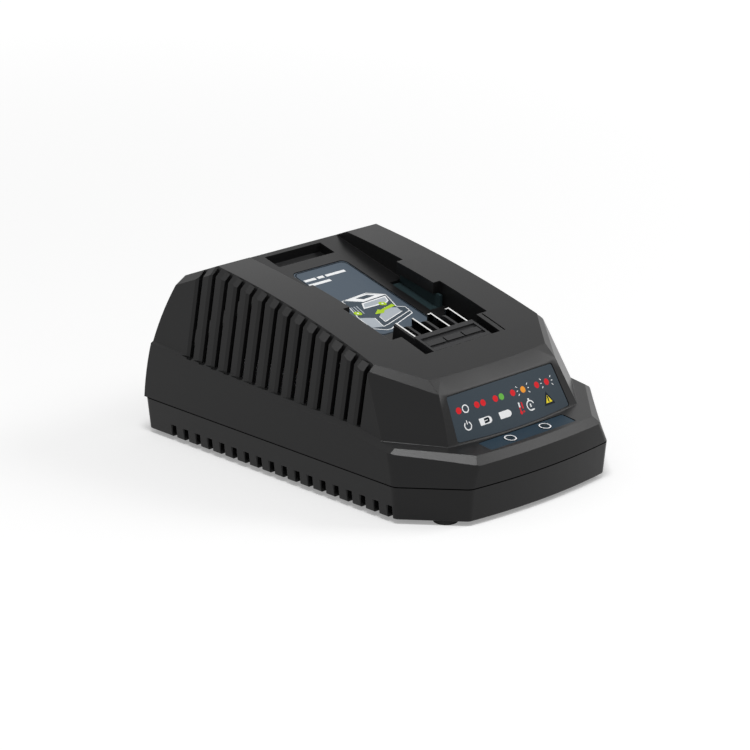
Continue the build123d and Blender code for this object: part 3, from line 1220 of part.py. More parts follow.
os.makedirs("parts", exist_ok=True)
write("upper_housing", upper_housing())
write("lower_housing", lower_housing())
for foot_name, (foot_x, foot_y) in FEET.items():
    write(foot_name, foot(foot_x, foot_y))
write("status_overlay", status_film()[1])
write("bay_label", bay_film()[1])
write("indicator_overlay", shelf_film()[1])
write("light_pipe_right", light_pipe(1))
write("light_pipe_left", light_pipe(-1))
right_liner, left_liner = rail_liners()
write("rail_liner_right", right_liner)
write("rail_liner_left", left_liner)
write("terminal_holder", terminal_holder())
for blade_index, blade_name in enumerate(BLADES):
    write(blade_name, blade(blade_index))
write("main_board", main_board())
write("indicator_board", indicator_board())
write("indicator_leds", led(WINDOW_X), led(-WINDOW_X))
write("indicator_cable", indicator_cable())
core_halves, bobbin_part, winding_part = transformer()
write("transformer_core", *core_halves)
write("transformer_bobbin", bobbin_part)
write("transformer_winding", winding_part)
write("primary_heat_sink",
      heat_sink(PRIMARY_SINK_X, PRIMARY_SINK_Y, PRIMARY_SINK_LENGTH, PRIMARY_SINK_HEIGHT, -1))
write("secondary_heat_sink",
      heat_sink(SECONDARY_SINK_X, SECONDARY_SINK_Y, SECONDARY_SINK_LENGTH, SECONDARY_SINK_HEIGHT, 1))
write("switching_transistor", power_package(PRIMARY_SINK_X + SINK_THICKNESS / 2, PRIMARY_SINK_Y, 1))
write("rectifier_diode", power_package(SECONDARY_SINK_X - SINK_THICKNESS / 2, SECONDARY_SINK_Y, -1))
write("bulk_capacitors", capacitor(BULK_X, BULK_Y, BULK_RADIUS, BULK_HEIGHT),
      capacitor(BULK_X + BULK_PITCH, BULK_Y, BULK_RADIUS, BULK_HEIGHT))
write("output_capacitors", capacitor(OUTPUT_CAP_X, OUTPUT_CAP_Y, OUTPUT_CAP_RADIUS, OUTPUT_CAP_HEIGHT),
      capacitor(OUTPUT_CAP_X + OUTPUT_CAP_PITCH, OUTPUT_CAP_Y, OUTPUT_CAP_RADIUS, OUTPUT_CAP_HEIGHT))
choke_core, choke_coils = choke()
write("filter_choke_core", choke_core)
write("filter_choke_windings", *choke_coils)
fuse_tube, fuse_ends = fuse()
write("fuse_tube", fuse_tube)
write("fuse_clips", *fuse_ends)
write("x_capacitor", chamfer(on_board(X_CAP_X, X_CAP_Y, X_CAP_SIZE).edges(), 0.5))
varistor_disc = Rot(0, 90, 0) * Cylinder(VARISTOR_RADIUS, VARISTOR_THICKNESS)
varistor_disc = Pos(VARISTOR_X, VARISTOR_Y, BOARD_TOP + VARISTOR_RADIUS) * varistor_disc
write("varistor", fillet(varistor_disc.edges(), VARISTOR_THICKNESS / 5))
write("bridge_rectifier", chamfer(on_board(BRIDGE_X, BRIDGE_Y, BRIDGE_SIZE).edges(), 0.4))
write("control_chips", *[on_board(x, y, CHIP_SIZE) for x, y in CHIPS])
inlet_body, inlet_pin_pair = mains_inlet()
write("mains_inlet", inlet_body)
write("inlet_pins", *inlet_pin_pair)
write("inlet_wires", *inlet_leads())
write("terminal_wires", *terminal_leads())
write("housing_screws", *[
    screw(x, y, SCREW_SEAT_Z, SCREW_LENGTH, SCREW_RADIUS, SCREW_HEAD_RADIUS, SCREW_HEAD_HEIGHT)
    for x, y in PILLARS])
write("board_screws", *[
    screw(x, y, BOARD_TOP, -BOARD_SCREW_LENGTH, BOARD_SCREW_RADIUS, BOARD_SCREW_HEAD_RADIUS,
          BOARD_SCREW_HEAD_HEIGHT)
    for x, y in STANDOFFS])
write("holder_screws", *[holder_screw(x, y) for x, y in HOLDER_SCREWS])
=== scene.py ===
from math import atan2, cos, pi, radians, sin

import bmesh
import bpy
from bpy.props import FloatProperty, FloatVectorProperty, PointerProperty
from mathutils import Matrix, Vector
from mathutils.bvhtree import BVHTree


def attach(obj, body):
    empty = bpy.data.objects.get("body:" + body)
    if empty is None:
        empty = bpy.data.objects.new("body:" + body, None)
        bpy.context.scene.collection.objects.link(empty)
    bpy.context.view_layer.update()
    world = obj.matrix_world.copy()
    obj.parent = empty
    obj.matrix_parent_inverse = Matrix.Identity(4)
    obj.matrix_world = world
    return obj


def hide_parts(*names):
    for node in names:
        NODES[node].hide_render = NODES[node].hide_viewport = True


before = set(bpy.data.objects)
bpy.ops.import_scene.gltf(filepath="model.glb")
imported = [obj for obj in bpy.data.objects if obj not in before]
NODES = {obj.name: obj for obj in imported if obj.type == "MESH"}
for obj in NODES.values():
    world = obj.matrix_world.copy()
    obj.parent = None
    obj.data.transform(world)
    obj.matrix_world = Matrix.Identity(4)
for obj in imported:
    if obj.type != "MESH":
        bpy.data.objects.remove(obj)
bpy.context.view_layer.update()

bl_info = {
    "name": "Tool battery charger",
    "version": (1, 0, 0),
    "blender": (4, 5, 0),
    "location": "3D View > Sidebar > Charger",
    "description": "Finishes, print and studio for a charger of slide-on tool batteries",
    "category": "Object",
}

MM = 0.001

# The shelf round the foot of the tower: its height at one y, and how it climbs towards the back
SHELF_HEIGHT = 0.03254
SHELF_Y = -0.0696
SHELF_SLOPE = 0.1025
# The louvred stretch of both side walls
LOUVRE_MIN_X = 0.042
LOUVRE_MIN_Y = -0.048
LOUVRE_MAX_Y = 0.072
LOUVRE_MIN_Z = 0.034
# Shading of the casing: patches over this area are facets, turns over these angles are edges
FACET_AREA = 4e-5
FLAT_TURN = radians(0.4)
SOFT_TURN = radians(4)
ROUND_TURN = radians(24)
CORNER_TURN = radians(30)
# Printing: where the rays start over a film, and how deep the ink's foot stands in it
RAY_START = 0.004
INK_FOOT = 0.00002


# ---------------------------------------------------------------- settings
class CasingSettings(bpy.types.PropertyGroup):
    """Moulded casing of the charger."""

    colour: FloatVectorProperty(
        name="Casing colour", description="Colour of the moulded casing",
        subtype="COLOR", size=3, min=0.0, max=1.0, default=(0.0085, 0.0085, 0.0088))
    liner: FloatVectorProperty(
        name="Liner colour", description="Colour of the liners under the rails",
        subtype="COLOR", size=3, min=0.0, max=1.0, default=(0.020, 0.036, 0.040))
    seam_top: FloatProperty(
        name="Seam top", description="Height of the top of the groove between the casing halves",
        subtype="DISTANCE", unit="LENGTH", default=0.017500)
    seam_height: FloatProperty(
        name="Seam height", description="Height of the groove between the casing halves",
        subtype="DISTANCE", unit="LENGTH", default=0.00035)
    # The groove and a strip this wide on each of its lips take a near-black painted shade
    seam_shade: FloatProperty(
        name="Seam shade", description="How far the shade of the groove reaches onto its lips",
        subtype="DISTANCE", unit="LENGTH", default=0.00009)
    foot_fillet: FloatProperty(
        name="Foot fillet", description="Reach of the fillet between the tower and the shelf",
        subtype="DISTANCE", unit="LENGTH", default=0.00045)
    edge_radius: FloatProperty(
        name="Edge radius", description="Radius that eases the moulded edges",
        subtype="DISTANCE", unit="LENGTH", default=0.00022)
    grain_size: FloatProperty(
        name="Grain size", description="Size of one bump of the spark-eroded grain",
        subtype="DISTANCE", unit="LENGTH", default=0.00030)
    roughness: FloatProperty(
        name="Roughness", description="Mean roughness of the casing",
        subtype="FACTOR", min=0.0, max=1.0, default=0.31)


class PrintSettings(bpy.types.PropertyGroup):
    """Printed films and their pictograms."""

    status_film: FloatVectorProperty(
        name="Status film", description="Ground colour of the status panel's film",
        subtype="COLOR", size=3, min=0.0, max=1.0, default=(0.043, 0.059, 0.074))
    shelf_film: FloatVectorProperty(
        name="Shelf film", description="Ground colour of the film round the lit windows",
        subtype="COLOR", size=3, min=0.0, max=1.0, default=(0.020, 0.039, 0.058))
    bay_film: FloatVectorProperty(
        name="Bay film", description="Ground colour of the film in the battery bay",
        subtype="COLOR", size=3, min=0.0, max=1.0, default=(0.080, 0.106, 0.136))
    red: FloatVectorProperty(
        name="Red", description="Red of the printed lamps",
        subtype="COLOR", size=3, min=0.0, max=1.0, default=(0.72, 0.018, 0.025))
    green: FloatVectorProperty(
        name="Green", description="Green of the printed lamps",
        subtype="COLOR", size=3, min=0.0, max=1.0, default=(0.15, 0.48, 0.07))
    amber: FloatVectorProperty(
        name="Amber", description="Amber of the printed lamps",
        subtype="COLOR", size=3, min=0.0, max=1.0, default=(0.93, 0.35, 0.035))
    yellow: FloatVectorProperty(
        name="Yellow", description="Yellow of the warning sign",
        subtype="COLOR", size=3, min=0.0, max=1.0, default=(0.92, 0.74, 0.03))
    lime: FloatVectorProperty(
        name="Lime", description="Lime accents of the battery drawing",
        subtype="COLOR", size=3, min=0.0, max=1.0, default=(0.42, 0.62, 0.03))
    white: FloatVectorProperty(
        name="White", description="White of the printed lines",
        subtype="COLOR", size=3, min=0.0, max=1.0, default=(0.92, 0.93, 0.94))
    grey: FloatVectorProperty(
        name="Grey", description="Pale grey of the panels in the battery drawing",
        subtype="COLOR", size=3, min=0.0, max=1.0, default=(0.44, 0.48, 0.52))
    slate: FloatVectorProperty(
        name="Slate", description="Dark slate of the panels in the battery drawing",
        subtype="COLOR", size=3, min=0.0, max=1.0, default=(0.055, 0.075, 0.095))
    dark: FloatVectorProperty(
        name="Dark", description="Near black of the rims and small marks",
        subtype="COLOR", size=3, min=0.0, max=1.0, default=(0.004, 0.009, 0.015))
    ink_height: FloatProperty(
        name="Ink height", description="How far the ink stands out over its film",
        subtype="DISTANCE", unit="LENGTH", default=0.00003)
    ray_length: FloatProperty(
        name="Ray length", description="Length of the short strokes round a blinking lamp",
        subtype="DISTANCE", unit="LENGTH", default=0.0010)


class StudioSettings(bpy.types.PropertyGroup):
    """Camera, lamps and floor."""

    azimuth: FloatProperty(
        name="Azimuth", description="Direction of the camera round the charger, in degrees",
        default=-44.16104)
    elevation: FloatProperty(
        name="Elevation", description="Height of the camera over the horizon, in degrees", default=18.78107)
    distance: FloatProperty(
        name="Distance", description="Distance from the camera to its target",
        subtype="DISTANCE", unit="LENGTH", default=1.4)
    target: FloatVectorProperty(
        name="Target", description="Point in the middle of the picture",
        subtype="XYZ", unit="LENGTH", size=3, default=(0.010142, 0.019350, 0.028648))
    lens: FloatProperty(
        name="Lens", description="Focal length for a 36 mm wide picture, in millimetres", default=145.366)
    floor_half: FloatProperty(
        name="Floor half size", description="Half the side of the studio floor",
        subtype="DISTANCE", unit="LENGTH", default=6.0)
    glow_near: FloatProperty(
        name="Near glow", description="White added to the floor beside the charger", default=0.28)
    glow_far: FloatProperty(
        name="Far glow", description="White added to the floor where the lamps fade", default=0.80)
    fill: FloatProperty(
        name="Fill light", description="Strength of the even light from all round", default=0.32)
    aim: FloatVectorProperty(
        name="Aim", description="Point that both lamps face",
        subtype="XYZ", unit="LENGTH", size=3, default=(0.0, 0.0, 0.03))
    top_power: FloatProperty(
        name="Top lamp power", description="Power of the lamp high over the corner",
        subtype="POWER", default=18.0)
    top_size: FloatProperty(
        name="Top lamp size", description="Side of the lamp high over the corner",
        subtype="DISTANCE", unit="LENGTH", default=0.55)
    top_place: FloatVectorProperty(
        name="Top lamp place", description="Middle of the lamp high over the corner",
        subtype="XYZ", unit="LENGTH", size=3, default=(-0.395, -0.348, 1.870))
    front_power: FloatProperty(
        name="Front lamp power", description="Power of the lamp before the status panel",
        subtype="POWER", default=7.0)
    front_size: FloatProperty(
        name="Front lamp size", description="Side of the lamp before the status panel",
        subtype="DISTANCE", unit="LENGTH", default=0.7)
    front_place: FloatVectorProperty(
        name="Front lamp place", description="Middle of the lamp before the status panel",
        subtype="XYZ", unit="LENGTH", size=3, default=(1.19, -0.76, 1.12))


# ---------------------------------------------------------------- node helpers
def socket_map(tree):
    """Link and node shortcuts for one node tree."""
    def new(kind, **values):
        node = tree.nodes.new(kind)
        for key, value in values.items():
            setattr(node, key, value)
        return node

    def link(source, target):
        tree.links.new(source, target)

    return new, link


def new_group(name, inputs, outputs):
    """An empty shader node group with the named float or colour sockets."""
    group = bpy.data.node_groups.new(name, "ShaderNodeTree")
    for label, kind, value in inputs:
        socket = group.interface.new_socket(label, in_out="INPUT", socket_type=kind)
        socket.default_value = value
    for label, kind in outputs:
        group.interface.new_socket(label, in_out="OUTPUT", socket_type=kind)
    return group


FLOAT = "NodeSocketFloat"
COLOUR = "NodeSocketColor"


def grain_group():
    """Fine moulded grain: colour, roughness and height that vary over the surface."""
    group = new_group("moulded_grain", [
        ("Colour", COLOUR, (0.02, 0.02, 0.02, 1.0)),
        ("Roughness", FLOAT, 0.5),
        ("Grain Size", FLOAT, 0.0003),
        ("Colour Spread", FLOAT, 0.08),
        ("Roughness Spread", FLOAT, 0.05),
    ], [("Colour", COLOUR), ("Roughness", FLOAT), ("Height", FLOAT)])
    new, link = socket_map(group)
    given = new("NodeGroupInput")
    result = new("NodeGroupOutput")
    place = new("ShaderNodeTexCoord")
    scale = new("ShaderNodeMath", operation="DIVIDE")
    scale.inputs[0].default_value = 1.0
    link(given.outputs["Grain Size"], scale.inputs[1])
    grain = new("ShaderNodeTexNoise")
    grain.inputs["Detail"].default_value = 2.0
    link(place.outputs["Object"], grain.inputs["Vector"])
    link(scale.outputs[0], grain.inputs["Scale"])
    cloud = new("ShaderNodeTexNoise")
    cloud.inputs["Scale"].default_value = 38.0
    cloud.inputs["Detail"].default_value = 4.0
    link(place.outputs["Object"], cloud.inputs["Vector"])
    speck = new("ShaderNodeTexNoise")
    speck.inputs["Scale"].default_value = 1400.0
    speck.inputs["Detail"].default_value = 1.0
    link(place.outputs["Object"], speck.inputs["Vector"])
    # Colour: the ground colour times 1 plus or minus the spread
    mixed = new("ShaderNodeMath", operation="ADD")
    link(cloud.outputs["Fac"], mixed.inputs[0])
    link(speck.outputs["Fac"], mixed.inputs[1])
    centred = new("ShaderNodeMath", operation="SUBTRACT")
    link(mixed.outputs[0], centred.inputs[0])
    centred.inputs[1].default_value = 1.0
    swing = new("ShaderNodeMath", operation="MULTIPLY_ADD")
    link(centred.outputs[0], swing.inputs[0])
    link(given.outputs["Colour Spread"], swing.inputs[1])
    swing.inputs[2].default_value = 1.0
    tint = new("ShaderNodeVectorMath", operation="SCALE")
    link(given.outputs["Colour"], tint.inputs[0])
    link(swing.outputs[0], tint.inputs["Scale"])
    link(tint.outputs[0], result.inputs["Colour"])
    rough = new("ShaderNodeMath", operation="MULTIPLY_ADD", use_clamp=True)
    link(centred.outputs[0], rough.inputs[0])
    link(given.outputs["Roughness Spread"], rough.inputs[1])
    link(given.outputs["Roughness"], rough.inputs[2])
    link(rough.outputs[0], result.inputs["Roughness"])
    link(grain.outputs["Fac"], result.inputs["Height"])
    return group


def finish_material(name, colour, roughness, grain_size=0.0003, bump=0.000012, metallic=0.0,
                    specular=0.4, colour_spread=0.08, roughness_spread=0.05, edge=0.0):
    """A Principled material that takes its variation from the moulded_grain group."""
    material = bpy.data.materials.new(name)
    material.use_nodes = True
    tree = material.node_tree
    new, link = socket_map(tree)
    shader = tree.nodes["Principled BSDF"]
    grain = new("ShaderNodeGroup", node_tree=GROUPS["grain"])
    grain.inputs["Colour"].default_value = (*colour, 1.0)
    grain.inputs["Roughness"].default_value = roughness
    grain.inputs["Grain Size"].default_value = grain_size
    grain.inputs["Colour Spread"].default_value = colour_spread
    grain.inputs["Roughness Spread"].default_value = roughness_spread
    link(grain.outputs["Colour"], shader.inputs["Base Color"])
    link(grain.outputs["Roughness"], shader.inputs["Roughness"])
    raised = new("ShaderNodeBump")
    raised.inputs["Distance"].default_value = bump
    link(grain.outputs["Height"], raised.inputs["Height"])
    link(raised.outputs["Normal"], shader.inputs["Normal"])
    if edge:
        eased = new("ShaderNodeBevel", samples=6)
        eased.inputs["Radius"].default_value = edge
        link(eased.outputs["Normal"], raised.inputs["Normal"])
    shader.inputs["Metallic"].default_value = metallic
    shader.inputs["Specular IOR Level"].default_value = specular
    material.diffuse_color = (*colour, 1.0)
    return material


def dress(names, material):
    """Give CAD nodes their finish through the slots of their own objects."""
    for name in names:
        slots = NODES[name].material_slots
        for slot in slots:
            slot.material = material


GROUPS = {}
MATERIALS = {}


def material_of(key, build):
    """The material kept under a key, built when it is first asked for."""
    if key not in MATERIALS:
        if "grain" not in GROUPS:
            GROUPS["grain"] = grain_group()
        MATERIALS[key] = build()
    return MATERIALS[key]


# ---------------------------------------------------------------- mesh helpers
def new_piece(name, bm, materials):
    """A finished piece at the origin that rides with the charger's body."""
    mesh = bpy.data.meshes.new(name)
    bm.to_mesh(mesh)
    bm.free()
    for material in materials:
        mesh.materials.append(material)
    piece = bpy.data.objects.new(name, mesh)
    bpy.context.scene.collection.objects.link(piece)
    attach(piece, "root")
    return piece


def flat_patches(bm):
    """Number the flat patches of a mesh and give the area of each."""
    patch, areas = {}, []
    for seed in bm.faces:
        if seed in patch:
            continue
        number = len(areas)
        areas.append(0.0)
        patch[seed] = number
        waiting = [seed]
        while waiting:
            face = waiting.pop()
            areas[number] += face.calc_area()
            for edge in face.edges:
                if edge.calc_face_angle(pi) > FLAT_TURN:
                    continue
                for near in edge.link_faces:
                    if near not in patch:
                        patch[near] = number
                        waiting.append(near)
    return patch, areas


def among_louvres(edge):
    """Whether an edge belongs to the louvred stretch of either side wall."""
    middle = (edge.verts[0].co + edge.verts[1].co) / 2
    return (abs(middle.x) > LOUVRE_MIN_X and LOUVRE_MIN_Y < middle.y < LOUVRE_MAX_Y
            and middle.z > LOUVRE_MIN_Z)


def at_tower_foot(edge):
    """Whether an edge is the inner corner between the tower and the shelf round it."""
    level = all(abs(vert.co.z - SHELF_HEIGHT - SHELF_SLOPE * (vert.co.y - SHELF_Y)) < 2e-5
                for vert in edge.verts)
    return level and edge.calc_length() > 0.002 and edge.calc_face_angle_signed(0.0) < -CORNER_TURN


def crisp_copy(name, node, materials, groove=None, fillet=0.0):
    """A copy of a CAD node, flat on its facets and smooth round its bends, which stands for the node.

    The faces between the two heights of a groove take the second material, a near-black painted shade, and
    a fillet fills the inner corner at the tower's foot."""
    bm = bmesh.new()
    bm.from_mesh(NODES[node].data)
    bmesh.ops.remove_doubles(bm, verts=bm.verts, dist=1e-6)
    for height in groove or ():
        bmesh.ops.bisect_plane(bm, geom=[*bm.verts, *bm.edges, *bm.faces], dist=1e-7,
                               plane_co=(0.0, 0.0, height), plane_no=(0.0, 0.0, 1.0))
    if fillet:
        bmesh.ops.bevel(bm, geom=[edge for edge in bm.edges if at_tower_foot(edge)], offset=fillet,
                        offset_type="OFFSET", segments=2, profile=0.5, affect="EDGES", material=-1)
    patch, areas = flat_patches(bm)
    for face in bm.faces:
        face.smooth = True
    for edge in bm.edges:
        turn = edge.calc_face_angle(pi)
        facets = all(areas[patch[face]] > FACET_AREA for face in edge.link_faces)
        edge.smooth = turn < SOFT_TURN or (turn < ROUND_TURN and not facets and not among_louvres(edge))
    # The groove's faces and a thin strip of its lips take the second material, which is painted shade
    if groove:
        for face in bm.faces:
            if all(groove[0] - 1e-6 < vert.co.z < groove[1] + 1e-6 for vert in face.verts):
                face.material_index = 1
    piece = new_piece(name, bm, materials)
    weigh = piece.modifiers.new("facet_normals", "WEIGHTED_NORMAL")
    weigh.keep_sharp = True
    weigh.weight = 90
    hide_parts(node)
    return piece


# ---------------------------------------------------------------- printed ink
INKS = ("white", "red", "green", "amber", "yellow", "lime", "grey", "slate", "dark")


def add_shape(sheet, ink, draw, *sizes, layer=0):
    """Draw one flat shape on the sheet, in millimetres, and give it its ink and thickness."""
    known = set(sheet.faces)
    draw(sheet, *sizes)
    flat = [face for face in sheet.faces if face not in known]
    for face in flat:
        face.material_index = INKS.index(ink)
    grown = bmesh.ops.extrude_face_region(sheet, geom=flat)
    top = [item for item in grown["geom"] if isinstance(item, bmesh.types.BMVert)]
    bmesh.ops.translate(sheet, verts=top, vec=(0.0, 0.0, 1.0 + layer))


def disc(sheet, x, y, radius):
    """A round dot."""
    bmesh.ops.create_circle(sheet, cap_ends=True, segments=24, radius=radius,
                            matrix=Matrix.Translation((x, y, 0.0)))


def arc(sheet, x, y, inner, outer, start=0.0, turn=360.0):
    """A band round a centre, from a start angle on, closed when it turns all the way."""
    way = Vector((cos(radians(start)), sin(radians(start)), 0.0))
    ends = [sheet.verts.new(Vector((x, y, 0.0)) + way * size) for size in (inner, outer)]
    spoke = sheet.edges.new(ends)
    bmesh.ops.spin(sheet, geom=ends + [spoke], cent=(x, y, 0.0), axis=(0.0, 0.0, 1.0), dvec=(0.0, 0.0, 0.0),
                   angle=radians(turn), steps=max(3, round(turn / 12)), use_merge=turn >= 360.0)


def stroke(sheet, start, end, width):
    """A straight stroke between two points."""
    run = Vector(end) - Vector(start)
    middle = (Vector(end) + Vector(start)) / 2
    turn = Matrix.Rotation(atan2(run.y, run.x), 4, "Z")
    size = Matrix.Diagonal((run.length / 2, width / 2, 1.0, 1.0))
    bmesh.ops.create_grid(sheet, x_segments=1, y_segments=1, size=1.0,
                          matrix=Matrix.Translation((middle.x, middle.y, 0.0)) @ turn @ size)


def strokes(sheet, ink, pairs, width, layer=0):
    """Straight strokes of one ink and width, one for each pair of points."""
    for start, end in pairs:
        add_shape(sheet, ink, stroke, start, end, width, layer=layer)


def outline(sheet, points, radius=0.0):
    """A flat shape from its corners, rounded by a radius."""
    corners = [sheet.verts.new((x, y, 0.0)) for x, y in points]
    sheet.faces.new(corners)
    if radius:
        bmesh.ops.bevel(sheet, geom=corners, offset=radius, offset_type="OFFSET", segments=3,
                        profile=0.5, affect="VERTICES", material=-1)


def lay_ink(name, sheet, films, foot, up, height):
    """Lay a drawn sheet on its films: x runs across, y up the film from its foot."""
    up = Vector(up)
    out = Vector((1.0, 0.0, 0.0)).cross(up).normalized()
    skins = []
    for node in films:
        skin = bmesh.new()
        skin.from_mesh(NODES[node].data)
        skins.append(BVHTree.FromBMesh(skin))
        skin.free()
    bmesh.ops.remove_doubles(sheet, verts=sheet.verts, dist=1e-4)
    for vert in sheet.verts:
        spot = Vector(foot) + Vector((1.0, 0.0, 0.0)) * vert.co.x * MM + up * vert.co.y * MM
        hits = [skin.ray_cast(spot + out * RAY_START, -out) for skin in skins]
        depths = [hit[3] for hit in hits if hit[0] is not None]
        if not depths:
            raise RuntimeError("%s reaches past its film at %.1f, %.1f" % (name, vert.co.x, vert.co.y))
        rise = vert.co.z * height if vert.co.z > 0.5 else -INK_FOOT
        vert.co = spot + out * (RAY_START - min(depths) + rise)
    bmesh.ops.recalc_face_normals(sheet, faces=sheet.faces)
    inks = bpy.context.scene.charger_print
    materials = [material_of("ink_" + ink, lambda ink=ink: finish_material(
        "ink_" + ink, tuple(getattr(inks, ink)), 0.45, 0.0004, 0.000004, specular=0.1, colour_spread=0.05))
        for ink in INKS]
    return new_piece(name, sheet, materials)


# ---------------------------------------------------------------- operators
class CHARGER_OT_camera(bpy.types.Operator):
    """Set up the camera."""

    bl_idname = "charger.camera"
    bl_label = "Camera"

    def execute(self, context):
        studio = context.scene.charger_studio
        azimuth = radians(studio.azimuth)
        elevation = radians(studio.elevation)
        back = Vector((sin(azimuth) * cos(elevation), -cos(azimuth) * cos(elevation), sin(elevation)))
        data = bpy.data.cameras.new("studio_camera")
        data.sensor_width = 36.0
        data.lens = studio.lens
        data.clip_start = 0.01
        data.clip_end = 50.0
        camera = bpy.data.objects.new("studio_camera", data)
        context.scene.collection.objects.link(camera)
        camera.location = Vector(studio.target) + back * studio.distance
        camera.rotation_mode = "QUATERNION"
        camera.rotation_quaternion = (-back).to_track_quat("-Z", "Y")
        context.scene.camera = camera
        return {"FINISHED"}


class CHARGER_OT_casing(bpy.types.Operator):
    """Ease the edges of both casing halves, give them their moulded finish and paint shade into the seam
    between them.
    """

    bl_idname = "charger.casing"
    bl_label = "Casing"

    def execute(self, context):
        casing = context.scene.charger_casing
        material = material_of("casing", lambda: finish_material(
            "casing_black", tuple(casing.colour), casing.roughness, casing.grain_size, 0.00001,
            specular=0.22, edge=casing.edge_radius))
        # Near-black, barely reflective material for the seam band: painted shade in the groove between the
        # halves
        shade = material_of("seam", lambda: finish_material(
            "seam_shade", (0.002, 0.002, 0.002), 0.8, casing.grain_size, 0.000008, specular=0.02))
        groove = (casing.seam_top - casing.seam_height - casing.seam_shade,
                  casing.seam_top + casing.seam_shade)
        crisp_copy("casing_top", "upper_housing", [material, shade], groove=groove,
                   fillet=casing.foot_fillet)
        crisp_copy("casing_bottom", "lower_housing", [material, shade], groove=groove)
        liner = material_of("liner", lambda: finish_material(
            "liner_teal", tuple(casing.liner), 0.40, casing.grain_size, 0.000008, specular=0.22))
        dress(["rail_liner_right", "rail_liner_left"], liner)
        return {"FINISHED"}


class CHARGER_OT_feet(bpy.types.Operator):
    """Give the feet their rubber."""

    bl_idname = "charger.feet"
    bl_label = "Feet"

    def execute(self, context):
        rubber = material_of("rubber", lambda: finish_material(
            "foot_rubber", (0.012, 0.012, 0.012), 0.75, 0.0006, 0.00004, specular=0.3))
        dress([name for name in NODES if name.startswith("foot_")], rubber)
        return {"FINISHED"}


class CHARGER_OT_terminals(bpy.types.Operator):
    """Finish the terminal block and its blades."""

    bl_idname = "charger.terminals"
    bl_label = "Terminal block"

    def execute(self, context):
        holder = material_of("holder", lambda: finish_material(
            "terminal_plastic", (0.014, 0.014, 0.015), 0.45, 0.0003, 0.00001, specular=0.22, edge=0.0002))
        blade = material_of("blade", self.blade_metal_painted_light)
        crisp_copy("terminal_block", "terminal_holder", [holder])
        dress([name for name in NODES if name.startswith("contact_")], blade)
        dress(["fuse_clips", "inlet_pins"], blade)
        dress(["mains_inlet"], holder)
        return {"FINISHED"}

    def blade_metal_painted_light(self):
        """Stamped spring metal with painted light: faces that turn upwards get bright metal as a painted
        highlight, the flanks a near-black painted shade.
        """
        material = finish_material("contact_metal", (0.84, 0.84, 0.83), 0.22, 0.0003, 0.000001,
                                   metallic=1.0, colour_spread=0.04)
        tree = material.node_tree
        new, link = socket_map(tree)
        shader = tree.nodes["Principled BSDF"]
        place = new("ShaderNodeTexCoord")
        parts = new("ShaderNodeSeparateXYZ")
        link(place.outputs["Normal"], parts.inputs[0])
        # Mask from the facing: upward faces take the bright metal as a painted highlight
        upward_mask = new("ShaderNodeMapRange")
        upward_mask.inputs["From Min"].default_value = 0.35
        upward_mask.inputs["From Max"].default_value = 0.75
        link(parts.outputs["Z"], upward_mask.inputs["Value"])
        painted_light_tone = new("ShaderNodeMix", data_type="RGBA")
        # Near-black painted shade for the blades' flanks
        painted_light_tone.inputs[6].default_value = (0.035, 0.035, 0.036, 1.0)
        link(upward_mask.outputs["Result"], painted_light_tone.inputs[0])
        link(shader.inputs["Base Color"].links[0].from_socket, painted_light_tone.inputs[7])
        link(painted_light_tone.outputs[2], shader.inputs["Base Color"])
        return material


class CHARGER_OT_films(bpy.types.Operator):
    """Finish the printed films and the lit windows."""

    bl_idname = "charger.films"
    bl_label = "Printed films"

    def execute(self, context):
        ink = context.scene.charger_print
        for node, colour, key in (
                ("status_overlay", ink.status_film, "status_film"),
                ("indicator_overlay", ink.shelf_film, "shelf_film"),
                ("bay_label", ink.bay_film, "bay_film")):
            colour = tuple(colour)
            film = material_of(key, lambda colour=colour, key=key: finish_material(
                key, colour, 0.42, 0.0004, 0.000006, specular=0.1, colour_spread=0.05))
            dress([node], film)
        lens = material_of("lens", lambda: finish_material(
            "clear_lens", (0.012, 0.024, 0.036), 0.16, 0.0004, 0.000002, specular=0.15, colour_spread=0.04))
        dress(["light_pipe_right", "light_pipe_left", "indicator_leds"], lens)
        return {"FINISHED"}


